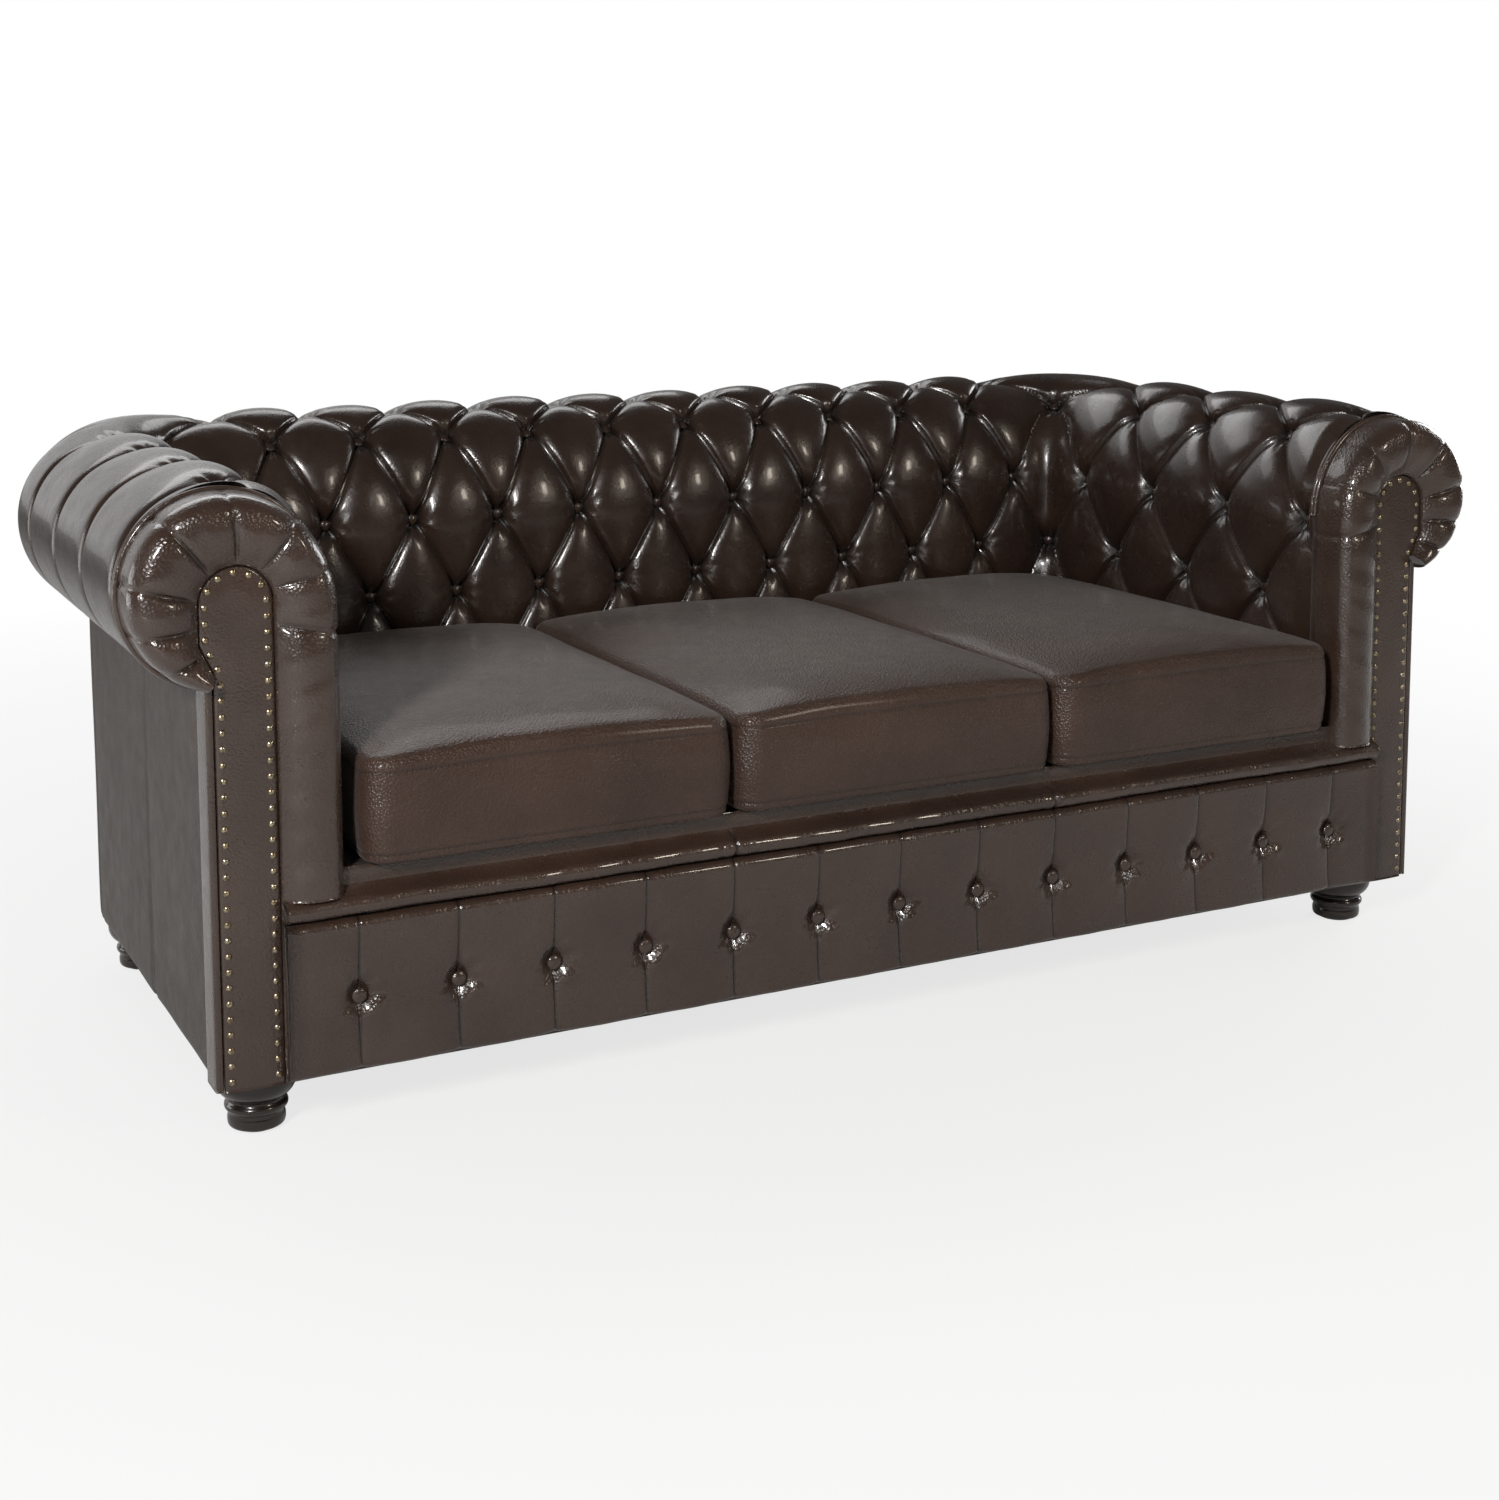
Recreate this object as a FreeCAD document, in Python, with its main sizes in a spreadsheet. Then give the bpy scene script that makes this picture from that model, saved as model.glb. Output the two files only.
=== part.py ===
import FreeCAD
import Part
import Sketcher
import math
import os

# A three seat chesterfield sofa: wooden frame, buttoned inside back and arms that roll outwards,
# three loose seat cushions, a buttoned front skirt, nailed arm facings and four turned feet.
# X runs along the sofa, the front looks along -Y, and the floor under the middle is the origin.

doc = FreeCAD.newDocument("Chesterfield")
sheet = doc.addObject("Spreadsheet::Sheet", "Sizes")

SIZES = {
    # the whole sofa
    "overall_width": 1950,
    "overall_depth": 960,
    "cushion_nose": 30,
    "underside_height": 74,
    # the roll along arms and back, seen in section
    "roll_radius": 118,
    "roll_axis_height": 645,
    "face_inset": 116,
    "face_turn_height": 600,
    "pad_bottom_height": 300,
    "pad_thickness": 56,
    "rail_cover": 63,
    "outer_inset": 88,
    "roll_end_angle": 75,
    # the buttoning
    "low_row_height": 495,
    "hidden_row_share": 0.42,
    "middle_row_height": 608,
    "high_row_angle": 125,
    "crest_row_angle": 94,
    "roll_start_angle": 74,
    "back_intervals": 11,
    "arm_half_intervals": 7,
    "arm_front_margin": 31.2,
    "puff_height": 12,
    "tuft_depth": 10,
    "tuft_dip": 2,
    "fold_depth": 5,
    "roll_pleat": 6,
    "tuft_half": 0.09,
    "button_radius": 8.5,
    "button_height": 5,
    "button_seat": 6.8,
    "arm_button_seat": 7.8,
    "roll_tuck": 6,
    "corner_room": 3,
    # the arm fronts
    "strip_inset": 92,
    "strip_width": 70,
    "strip_proud": 5,
    "board_thickness": 40,
    "head_width": 86,
    "head_height": 634,
    "neck_height": 556,
    "neck_drop": 34,
    "border_width": 73,
    "scroll_radius": 110,
    "scroll_axis_height": 645,
    "border_depth": 45,
    "border_bulge": 16,
    "border_pleat": 7,
    "border_rim": 16,
    "border_rim_drop": 5,
    "leg_turn_rise": 20,
    "nail_pitch": 18.2,
    "nail_radius": 4.7,
    "nail_height": 3.2,
    "nail_edge": 8,
    "welt_width": 10,
    # the outside panels
    "panel_thickness": 8,
    "back_rake": 60,
    "panel_lift": 3,
    "corner_start": 20,
    "side_seam": 0.5,
    "side_seam_place": 343,
    # the seat front
    "skirt_bottom": 79,
    "skirt_top": 262,
    "skirt_thickness": 22,
    "skirt_puff": 5,
    "skirt_buttons": 13,
    "skirt_button_pitch": 121.3,
    "skirt_button_height": 168,
    "skirt_button_radius": 9,
    "lip_bottom": 264,
    "lip_top": 287,
    "lip_reach": 24,
    "lip_round": 11,
    "lip_seam_half": 14,
    "lip_pinch": 2.5,
    # the cushions
    "cushion_side_gap": 20.5,
    "cushion_gap": 2,
    "cushion_bottom": 319,
    "cushion_height": 122,
    "cushion_crown": 15,
    "cushion_side_swell": 5,
    "cushion_edge": 10,
    "cushion_corner": 34,
    "cushion_back_gap": 8,
    "cushion_cover": 3,
    "core_gap": 0.5,
    # the seat deck and its springs
    "spring_wire": 3.6,
    "spring_reach": 26,
    "spring_loop": 30,
    "spring_count": 10,
    "clip_width": 18,
    "clip_thickness": 1.2,
    "deck_side_gap": 6,
    # the wood
    "rail_thickness": 25,
    "base_rail_height": 120,
    "seat_rail_height": 213,
    "top_rail_width": 58,
    "top_rail_height": 36,
    "tuck_rail_height": 40,
    "tuck_rail_thickness": 15,
    "upright_thickness": 16,
    "upright_width": 60,
    "post_size": 34,
    "post_offset": 10,
    "cross_rail_height": 60,
    "block_size": 92,
    "block_height": 38,
    "cover_thickness": 1.5,
    # the feet
    "foot_radius": 48,
    "foot_waist": 37,
    "foot_base": 33,
    "foot_inset": 146,
    "foot_front": 74,
    "foot_back": 16,
    "glide_height": 3,
    "glide_radius": 24,
    "bolt_radius": 4,
    "bolt_length": 62,
    "bore_gap": 0.2,
    "seat_gap": 0.3,
}


class Dim(float):
    """A size that knows its number and the sheet formula behind it."""

    def __new__(cls, value, text):
        made = float.__new__(cls, value)
        made.text = text
        return made

    def __add__(self, other):
        return Dim(float(self) + float(other), "(%s + %s)" % (term(self), term(other)))

    def __sub__(self, other):
        return Dim(float(self) - float(other), "(%s - %s)" % (term(self), term(other)))

    def __mul__(self, other):
        return Dim(float(self) * float(other), "(%s * %s)" % (term(self), term(other)))

    def __truediv__(self, other):
        return Dim(float(self) / float(other), "(%s / %s)" % (term(self), term(other)))

    def __neg__(self):
        return Dim(-float(self), "(-1 * %s)" % term(self))

    __radd__ = __add__
    __rmul__ = __mul__


def term(value):
    return value.text if isinstance(value, Dim) else repr(float(value))


for row, (alias, number) in enumerate(SIZES.items(), start=1):
    sheet.set("A%d" % row, alias)
    sheet.set("B%d" % row, str(number))
    sheet.setAlias("B%d" % row, alias)
doc.recompute()


def smaller_of(one, other):
    """The smaller of two lengths, with the same choice in the sheet's words."""
    return Dim(min(float(one), float(other)), "min(%s; %s)" % (term(one), term(other)))


def size(alias):
    return Dim(sheet.get(alias), "Sizes." + alias)


parts = []

# Places that many pieces share
half_width = size("overall_width") / 2
front = -(size("overall_depth") / 2) + size("cushion_nose")
back_axis = size("overall_depth") / 2 - size("roll_radius")
arm_axis = half_width - size("roll_radius")
corner_x = arm_axis - size("face_inset")
corner_y = back_axis - size("face_inset")
outer_x = half_width - size("outer_inset")
outer_offset = outer_x - arm_axis
strip_outer = half_width - size("strip_inset")
strip_inner = strip_outer - size("strip_width")
border_inner = strip_inner - size("border_width")
scroll_axis = half_width - size("scroll_radius")
board_back = front + size("board_thickness") + size("strip_proud")
border_back = front + size("border_depth")
pad_front = border_back + size("seat_gap")
frame_offset = size("pad_thickness") - size("face_inset")
low = size("underside_height")
back_interval = corner_x * 2 / size("back_intervals")
arm_reach = corner_y - pad_front - size("arm_front_margin")
arm_half_interval = arm_reach / size("arm_half_intervals")
low_corner_radius = outer_x - corner_x - size("back_rake")
cushion_width = (corner_x - size("cushion_side_gap") - size("cushion_gap")) * 2 / 3


# Wood and other straight pieces


def plank(label, xs, ys, zs, keep=True):
    box = doc.addObject("Part::Box", label)
    box.Label = label
    for name, span in zip(("Length", "Width", "Height"), (xs, ys, zs)):
        box.setExpression(name, term(span[1] - span[0]))
    for axis, span in zip("xyz", (xs, ys, zs)):
        box.setExpression("Placement.Base." + axis, term(span[0]))
    if keep:
        parts.append(box)
    return box


def rod(label, x, y, z, radius, length, keep=True):
    cylinder = doc.addObject("Part::Cylinder", label)
    cylinder.Label = label
    cylinder.setExpression("Radius", term(radius))
    cylinder.setExpression("Height", term(length))
    for axis, place in zip("xyz", (x, y, z)):
        cylinder.setExpression("Placement.Base." + axis, term(place))
    if keep:
        parts.append(cylinder)
    return cylinder


def across(side, inner, outer):
    """A span in X on the right side, or its mirror image on the left."""
    return (inner, outer) if side > 0 else (-outer, -inner)


def grouped(label, members):
    group = doc.addObject("Part::Compound", label)
    group.Label = label
    group.Links = members
    parts.append(group)
    return group


def shaped(label, shape):
    feature = doc.addObject("Part::Feature", label)
    feature.Label = label
    feature.Shape = shape
    feature.Placement = FreeCAD.Placement()
    parts.append(feature)
    return feature


def body_with_outline(label, role, corners):
    """A body whose sketch is a straight sided outline, each corner tied to the sheet."""
    body = doc.addObject("PartDesign::Body", label)
    body.Label = label
    plane = [f for f in body.Origin.OriginFeatures if f.Role == role][0]
    sketch = body.newObject("Sketcher::SketchObject", label + "_outline")
    sketch.AttachmentSupport = (plane, "")
    sketch.MapMode = "FlatFace"
    count = len(corners)
    for i, corner in enumerate(corners):
        following = corners[(i + 1) % count]
        start = FreeCAD.Vector(corner[0], corner[1], 0)
        sketch.addGeometry(Part.LineSegment(start, FreeCAD.Vector(following[0], following[1], 0)))
    for i, corner in enumerate(corners):
        sketch.addConstraint(Sketcher.Constraint("Coincident", i, 2, (i + 1) % count, 1))
        for kind, place in zip(("DistanceX", "DistanceY"), corner):
            made = sketch.addConstraint(Sketcher.Constraint(kind, -1, 1, i, 1, float(place)))
            sketch.setExpression("Constraints[%d]" % made, term(place))
    return body, sketch


def padded_outline(label, corners, start, thickness):
    """An outline in the XZ plane, thickened backwards from the given Y."""
    body, sketch = body_with_outline(label, "XZ_Plane", corners)
    pad = body.newObject("PartDesign::Pad", label + "_pad")
    pad.Profile = sketch
    pad.setExpression("Length", term(thickness))
    pad.Reversed = True
    body.setExpression("Placement.Base.y", term(start))
    parts.append(body)
    return body, pad


def rounded_corners(body, base, places, radius):
    """Fillets the edges along Y that run through the given (x, z) places."""
    doc.recompute()
    names = []
    for i, edge in enumerate(base.Shape.Edges, start=1):
        ends = [vertex.Point for vertex in edge.Vertexes]
        if len(ends) == 2 and abs(ends[0].y - ends[1].y) > 1:
            if any(math.hypot(ends[0].x - x, ends[0].z - z) < 0.1 for x, z in places):
                names.append("Edge%d" % i)
    fillet = body.newObject("PartDesign::Fillet", base.Label + "_round")
    fillet.Base = (base, names)
    fillet.setExpression("Radius", term(radius))
    return fillet


# Soft forms: a section is a list of edges, each with three points or two


def arc_or_line(first, middle, last):
    chord = last - first
    if (middle - first).cross(chord).Length < 1e-3 * max(chord.Length, 1e-6) * chord.Length:
        return Part.LineSegment(first, last).toShape()
    return Part.Arc(first, middle, last).toShape()


def section_wire(edges, place):
    """Edges given as tuples of two or three (n, z) points, put in space by place(n, z)."""
    made = []
    for points in edges:
        spots = [place(*p) for p in points]
        if len(spots) == 2:
            made.append(Part.LineSegment(spots[0], spots[1]).toShape())
        else:
            made.append(arc_or_line(*spots))
    return Part.Wire(made)


def loft(wires):
    return Part.makeLoft(wires, True, True)


def face_point(row, out):
    """A point of the inside face by its row number, moved out of the pad by a distance."""
    inset, turn = float(size("face_inset")), float(size("face_turn_height"))
    rise = float(size("roll_axis_height") + size("roll_radius")) - turn
    bottom, low_row = float(size("pad_bottom_height")), float(size("low_row_height"))
    middle_row = float(size("middle_row_height"))
    angles = [math.radians(size(a)) for a in ("high_row_angle", "crest_row_angle", "roll_start_angle")]
    hidden_row = bottom + (low_row - bottom) * float(size("hidden_row_share"))
    heights = [bottom, hidden_row, low_row, middle_row]
    if row <= 3:
        step = min(int(row), 2)
        height = heights[step] + (row - step) * (heights[step + 1] - heights[step])
        angle = math.pi if height <= turn else math.pi - math.asin((height - turn) / rise)
    else:
        angle = math.pi - math.asin(max(middle_row - turn, 0) / rise)
        steps = [angle] + angles
        step = min(int(row) - 3, 2)
        angle = steps[step] + (row - 3 - step) * (steps[step + 1] - steps[step])
        height = turn + 1
    if height <= turn:
        return -inset - out, height
    n, z = inset * math.cos(angle), turn + rise * math.sin(angle)
    normal_n, normal_z = math.cos(angle) / inset, math.sin(angle) / rise
    length = math.hypot(normal_n, normal_z)
    return n + out * normal_n / length, z + out * normal_z / length


def pad_section(kind, strength=1.0):
    """Section of an inside pad: buttoned face, crest, outer roll and the hidden straight back.

    The kind says what the column holds: "odd" has buttons in the low and high rows, "even" in the
    middle and crest rows, and "between" only the folds that run from button to button.
    """
    half = float(size("tuft_half"))
    puff, sunk = strength * size("puff_height"), -strength * size("tuft_depth")
    fold, pleat = -strength * size("fold_depth"), strength * size("roll_pleat")
    seat = sunk - strength * size("tuft_dip")
    if kind == "odd":
        rows = [0, 2 - half, 2 + half, 4 - half, 4 + half, 6]
        outs = [0, sunk, sunk, sunk, sunk, 0]
        crests = [puff, seat, puff, seat, puff]
        outer = 0.0
    elif kind == "even":
        rows = [0, 1 + half, 3 - half, 3 + half, 5 - half, 5 + half]
        outs = [0, sunk, sunk, sunk, sunk, sunk]
        crests = [0, puff, seat, puff, seat]
        outer = -pleat
    else:
        rows = [0, 1.5, 2.5, 3.5, 4.5, 5.6]
        outs = [0, fold, fold, fold, fold, fold / 2]
        crests = [puff / 2, puff * 0.7, puff * 0.7, puff * 0.7, puff * 0.7]
        outer = -pleat / 3
    edges = []
    for i, crest in enumerate(crests):
        middle = (rows[i] + rows[i + 1]) / 2
        first, last = face_point(rows[i], outs[i]), face_point(rows[i + 1], outs[i + 1])
        edges.append((first, face_point(middle, crest), last))
    radius, level = float(size("roll_radius")), float(size("roll_axis_height"))
    end = math.radians(size("roll_end_angle"))
    start = edges[-1][2]
    start_angle = math.atan2(start[1] - level, start[0])
    lean = start_angle / 2

    def on_roll(angle, grown):
        return (radius + grown) * math.cos(angle), level + (radius + grown) * math.sin(angle)

    edges.append((start, on_roll(lean, outer), on_roll(0, outer)))
    edges.append((on_roll(0, outer), on_roll(-end / 2, outer), on_roll(-end, 0)))
    inner = float(outer_offset - size("panel_thickness") - size("seat_gap"))
    tuck = float(size("roll_tuck"))
    behind = float(frame_offset)
    top = level + radius - size("rail_cover")
    bottom = float(size("pad_bottom_height"))
    outline = [on_roll(-end, 0), (inner, level - radius * math.sin(end) + tuck), (inner, top)]
    outline += [(behind, top), (behind, bottom), edges[0][0]]
    edges += [tuple(pair) for pair in zip(outline, outline[1:])]
    return edges


def clipped(edges, least):
    """The section with nothing in front of the given n, for the tight inside corner."""
    return [tuple((max(n, least), z) for n, z in points) for points in edges]


def back_place(x):
    return lambda n, z: FreeCAD.Vector(x, back_axis + n, z)


def arm_place(side, y):
    return lambda n, z: FreeCAD.Vector(side * (arm_axis + n), y, z)


def corner_place(side, angle):
    reach = float(size("face_inset"))

    def place(n, z):
        out = reach + n
        x = corner_x + out * math.cos(angle)
        return FreeCAD.Vector(side * x, corner_y + out * math.sin(angle), z)

    return place


def dome(radius, height, rim):
    """A cap of a ball on a straight rim, standing on the XY plane."""
    rise = height - rim
    ball = (radius**2 + rise**2) / (2 * rise)
    half_turn = math.asin(radius / ball) / 2
    foot, top = FreeCAD.Vector(0, 0, 0), FreeCAD.Vector(0, 0, height)
    corner = FreeCAD.Vector(radius, 0, rim)
    shoulder = FreeCAD.Vector(ball * math.sin(half_turn), 0, height - ball + ball * math.cos(half_turn))
    edges = [Part.LineSegment(foot, FreeCAD.Vector(radius, 0, 0)).toShape()]
    if rim > 0:
        edges.append(Part.LineSegment(FreeCAD.Vector(radius, 0, 0), corner).toShape())
    edges.append(Part.Arc(corner, shoulder, top).toShape())
    edges.append(Part.LineSegment(top, foot).toShape())
    return Part.Face(Part.Wire(edges)).revolve(foot, FreeCAD.Vector(0, 0, 1), 360)


def button(radius, height, centre, normal):
    """A covered button: a low dome on a straight rim, facing along the normal."""
    solid = dome(radius, height, height * 0.4)
    turn = FreeCAD.Rotation(FreeCAD.Vector(0, 0, 1), FreeCAD.Vector(*normal))
    solid.Placement = FreeCAD.Placement(FreeCAD.Vector(*centre), turn)
    return solid


def tuft_button(row, place, seat_name="button_seat"):
    """A button in a row of the face, seated in its dimple and square to the face there."""
    seat = place(*face_point(row, -float(size(seat_name))))
    ahead = place(*face_point(row, float(size("button_height"))))
    return button(float(size("button_radius")), float(size("button_height")), seat, ahead - seat)


# Inside back, arms and corners

intervals = int(round(size("back_intervals")))
corner_least = float(size("corner_room") - size("face_inset"))
back_stations = []
for i in range(4 * intervals + 1):
    x = -corner_x + i * back_interval / 4
    section = pad_section(("odd", "between", "even", "between")[i % 4])
    if i in (0, 4 * intervals):
        section = clipped(section, corner_least)
        x = x - size("seat_gap") if i else x + size("seat_gap")
    back_stations.append((x, section))
back_wires = [section_wire(edges, back_place(float(x))) for x, edges in back_stations]
shaped("back_pad", loft(back_wires))

back_buttons = []
for i in range(1, 2 * intervals):
    x = float(-corner_x + i * back_interval / 2)
    rows = (3, 5) if i % 2 else (2, 4)
    back_buttons += [tuft_button(row, back_place(x)) for row in rows]
shaped("back_buttons", Part.Compound(back_buttons))

arm_steps = int(round(size("arm_half_intervals")))
arm_half = float(arm_half_interval)
corner_clear = float(size("tuft_depth") + size("tuft_dip"))
for side, name in ((1, "right"), (-1, "left")):
    wires = []
    for i in range(arm_steps + 1):
        y = float(corner_y) - i * arm_half
        section = pad_section("odd" if i % 2 == 0 else "even")
        if i == 0:
            section = clipped(section, corner_least)
            y -= float(size("seat_gap"))
        wires.append(section_wire(section, arm_place(side, y)))
        if i < arm_steps:
            halfway = float(corner_y) - (i + 0.5) * arm_half
            wires.append(section_wire(pad_section("between"), arm_place(side, halfway)))
    wires.append(section_wire(pad_section("between", 0.6), arm_place(side, float(pad_front))))
    shaped("arm_pad_" + name, loft(wires))

    buttons = []
    for i in range(1, arm_steps + 1):
        y = float(corner_y) - i * arm_half
        rows = (3, 5) if i % 2 else (2, 4)
        buttons += [tuft_button(row, arm_place(side, y), "arm_button_seat") for row in rows]
    buttons += [tuft_button(row, corner_place(side, math.pi / 4)) for row in (2, 4)]
    shaped("arm_buttons_" + name, Part.Compound(buttons))

    least = corner_clear - float(size("face_inset"))
    wires = []
    turns = 8
    for i in range(turns + 1):
        kind = "odd" if i in (0, 3, 4, 5, turns) else "between"
        section = clipped(pad_section(kind), least)
        wires.append(section_wire(section, corner_place(side, math.pi / 2 * i / turns)))
    shaped("corner_pad_" + name, loft(wires))

# Frame

rail = size("rail_thickness")
gap = size("seat_gap")
seat_rail = (low, low + size("seat_rail_height"))
rail_end = strip_inner - gap
plank("front_rail", (-rail_end, rail_end), (front, front + rail), seat_rail)
low_back = corner_y + low_corner_radius
back_rail_back = low_back - size("panel_thickness") - size("seat_gap")
back_rail_end = corner_x + size("face_inset") / 4
base_top = low + size("base_rail_height")
plank("back_rail", (-back_rail_end, back_rail_end), (back_rail_back - rail, back_rail_back), seat_rail)
side_out = outer_x - size("panel_thickness")
block = size("block_size")
seat_line = corner_y
cross = []
for i, x in enumerate((-corner_x / 3, corner_x / 3)):
    span = (x - rail / 2, x + rail / 2)
    depth = (front + rail, back_rail_back - rail)
    cross.append(plank("cross_rail_%d" % i, span, depth, (low, low + size("cross_rail_height")), False))
grouped("cross_rails", cross)

floor = Dim(0, "0")
blocks = []
bolts = []
glides = []
holes = []
for side, name in ((1, "right"), (-1, "left")):
    rail_across = across(side, side_out - rail, side_out)
    plank("side_rail_" + name, rail_across, (board_back, seat_line), (low, base_top))
    post_inner = outer_x - low_corner_radius - size("post_offset")
    post = across(side, post_inner, post_inner + size("post_size"))
    post_depth = (corner_y + size("post_size"), corner_y + size("post_size") * 2)
    top_rail_top = size("roll_axis_height") + size("roll_radius") - size("rail_cover") - size("seat_gap")
    top_rail = (top_rail_top - size("top_rail_height"), top_rail_top)
    plank("rear_post_" + name, post, post_depth, (low + size("block_height"), top_rail[0]))
    inner = arm_axis + frame_offset + size("seat_gap")
    rail_out = inner + size("top_rail_width")
    plank("arm_top_rail_" + name, across(side, inner, rail_out), (board_back, post_depth[1]), top_rail)
    tuck = (size("pad_bottom_height"), size("pad_bottom_height") + size("tuck_rail_height"))
    tuck_out = inner + size("tuck_rail_thickness")
    plank("arm_tuck_rail_" + name, across(side, inner, tuck_out), (board_back, post_depth[0]), tuck)

    for end, y in (("front", front + size("foot_front")), ("back", corner_y - size("foot_back"))):
        x = (half_width - size("foot_inset")) * side
        where = "%s_%s" % (end, name)
        block_across = across(side, side_out - rail - block, side_out - rail)
        block_start = board_back if end == "front" else y - block / 2
        block_span = (block_start, block_start + block)
        block_rise = (low, low + size("block_height"))
        cube = plank("block_" + where, block_across, block_span, block_rise, False)
        bore = rod("bore_" + where, x, y, low, size("bolt_radius") + size("bore_gap"), block, False)
        cut = doc.addObject("Part::Cut", "bored_" + where)
        cut.Base = cube
        cut.Tool = bore
        blocks.append(cut)
        bolt_low = low + size("block_height") - size("bolt_length")
        bolts.append(rod("bolt_" + where, x, y, bolt_low, size("bolt_radius"), size("bolt_length"), False))
        glide_size = (size("glide_radius"), size("glide_height"))
        glides.append(rod("glide_" + where, x, y, floor, glide_size[0], glide_size[1], False))
        hole_low = low - size("cover_thickness") - gap
        hole_radius = size("bolt_radius") + size("bore_gap")
        holes.append(rod("hole_" + where, x, y, hole_low, hole_radius, block, False))
grouped("corner_blocks", blocks)
grouped("foot_bolts", bolts)
grouped("foot_glides", glides)

back_frame = back_axis + frame_offset + size("seat_gap")
back_top = (back_frame, back_frame + size("top_rail_width"))
plank("back_top_rail", (-inner, inner), back_top, top_rail)
tuck_depth = (back_frame, back_frame + size("tuck_rail_thickness"))
plank("back_tuck_rail", (-post_inner, post_inner), tuck_depth, tuck)
uprights = []
for i in range(4):
    x = (i - 1.5) * back_interval * 3
    span = (x - size("upright_width") / 2, x + size("upright_width") / 2)
    depth = (tuck_depth[1], tuck_depth[1] + size("upright_thickness"))
    uprights.append(plank("upright_%d" % i, span, depth, (seat_rail[1], top_rail[0]), False))
grouped("back_uprights", uprights)

# Springs, deck and dust cover

spring_from = front + rail / 2
spring_to = back_rail_back - rail / 2
loops = int((spring_to - spring_from) / size("spring_loop"))
wire = float(size("spring_wire"))
reach = float(size("spring_reach"))
springs = []
clips = []
count = int(round(size("spring_count")))
level = float(seat_rail[1] + gap)
for k in range(count):
    x = float(corner_x) * (2 * (k + 0.5) / count - 1)
    places = [FreeCAD.Vector(x, float(spring_from), level)]
    step = float(spring_to - spring_from) / loops
    for i in range(loops):
        bend = reach if i % 2 else -reach
        y = float(spring_from) + i * step
        places.append(FreeCAD.Vector(x + bend, y + step * 0.1, level))
        places.append(FreeCAD.Vector(x + bend, y + step * 0.9, level))
    places.append(FreeCAD.Vector(x, float(spring_to), level))
    path = Part.makePolygon(places)
    outline = path.makeOffset2D(wire / 2, 0, False, False, True)
    springs.append(Part.Face(outline).extrude(FreeCAD.Vector(0, 0, wire)))
    for y in (spring_from, spring_to):
        clip = size("clip_width") / 2
        clip_low = seat_rail[1] + gap + size("spring_wire")
        clip_rise = (clip_low, clip_low + size("clip_thickness"))
        clip_name = "clip_%d_%s" % (k, "front" if y < 0 else "back")
        clips.append(plank(clip_name, (x - clip, x + clip), (y - clip, y + clip / 2), clip_rise, False))
shaped("seat_springs", Part.Compound(springs))
grouped("spring_clips", clips)


deck_top = size("cushion_bottom") - gap
deck_bottom = seat_rail[1] + size("spring_wire") + size("clip_thickness") + gap * 2
deck_half = corner_x - size("deck_side_gap")
deck_span = (front + size("deck_side_gap"), corner_y - size("deck_side_gap"))
plank("deck_pad", (-deck_half, deck_half), deck_span, (deck_bottom, deck_top))
cover_low = low - size("cover_thickness")
cover_half = side_out - size("deck_side_gap")
cover_span = (front + size("deck_side_gap"), back_rail_back - size("deck_side_gap"))
cover_sheet = plank("cover_sheet", (-cover_half, cover_half), cover_span, (cover_low, low), False)
cover_round = doc.addObject("Part::Fillet", "cover_round")
cover_round.Base = cover_sheet
doc.recompute()
cover_corner = float(low_corner_radius - size("panel_thickness") - size("deck_side_gap"))
cover_edges = []
for i, edge in enumerate(cover_sheet.Shape.Edges, start=1):
    low_end, high_end = (vertex.Point for vertex in edge.Vertexes)
    if abs(high_end.z - low_end.z) > 0.1 and low_end.y > 0:
        cover_edges.append((i, cover_corner, cover_corner))
cover_round.Edges = cover_edges
all_holes = doc.addObject("Part::Compound", "bolt_holes")
all_holes.Links = holes
dust_cover = doc.addObject("Part::Cut", "dust_cover")
dust_cover.Label = "dust_cover"
dust_cover.Base = cover_round
dust_cover.Tool = all_holes
parts.append(dust_cover)

# Outside panels

panel = size("panel_thickness")
panel_low = size("skirt_bottom") - size("panel_lift")
panel_high = size("roll_axis_height") - size("roll_radius") * math.sin(math.radians(size("roll_end_angle")))
panel_top = panel_high - size("seat_gap")
seam_y = front + size("side_seam_place")
straight_end = corner_y - size("corner_start")
welt_back = board_back + gap
for side, name in ((1, "right"), (-1, "left")):
    span = across(side, outer_x - panel, outer_x)
    seam = size("side_seam") / 2
    plank("outer_arm_front_" + name, span, (welt_back, seam_y - seam), (panel_low, panel_top))
    plank("outer_arm_rear_" + name, span, (seam_y + seam, straight_end - seam), (panel_low, panel_top))

    wires = []
    for radius, height in ((low_corner_radius, panel_low), (outer_x - corner_x, panel_top)):
        rings = []
        centre_x = float(outer_x - radius)
        for r in (float(radius), float(radius - panel)):
            def spot(angle, r=r):
                x = centre_x + r * math.cos(angle)
                return FreeCAD.Vector(side * x, corner_y + r * math.sin(angle), height)
            rings.append((spot(0), spot(math.pi / 4), spot(math.pi / 2)))
        outer, inside = rings
        start_out = FreeCAD.Vector(outer[0].x, straight_end, height)
        start_in = FreeCAD.Vector(inside[0].x, straight_end, height)
        edges = [Part.LineSegment(start_out, outer[0]).toShape(), Part.Arc(*outer).toShape()]
        edges.append(Part.LineSegment(outer[2], inside[2]).toShape())
        edges.append(Part.Arc(inside[2], inside[1], inside[0]).toShape())
        edges.append(Part.LineSegment(inside[0], start_in).toShape())
        edges.append(Part.LineSegment(start_in, start_out).toShape())
        wires.append(Part.Wire(edges))
    shaped("outer_corner_" + name, loft(wires))

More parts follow.
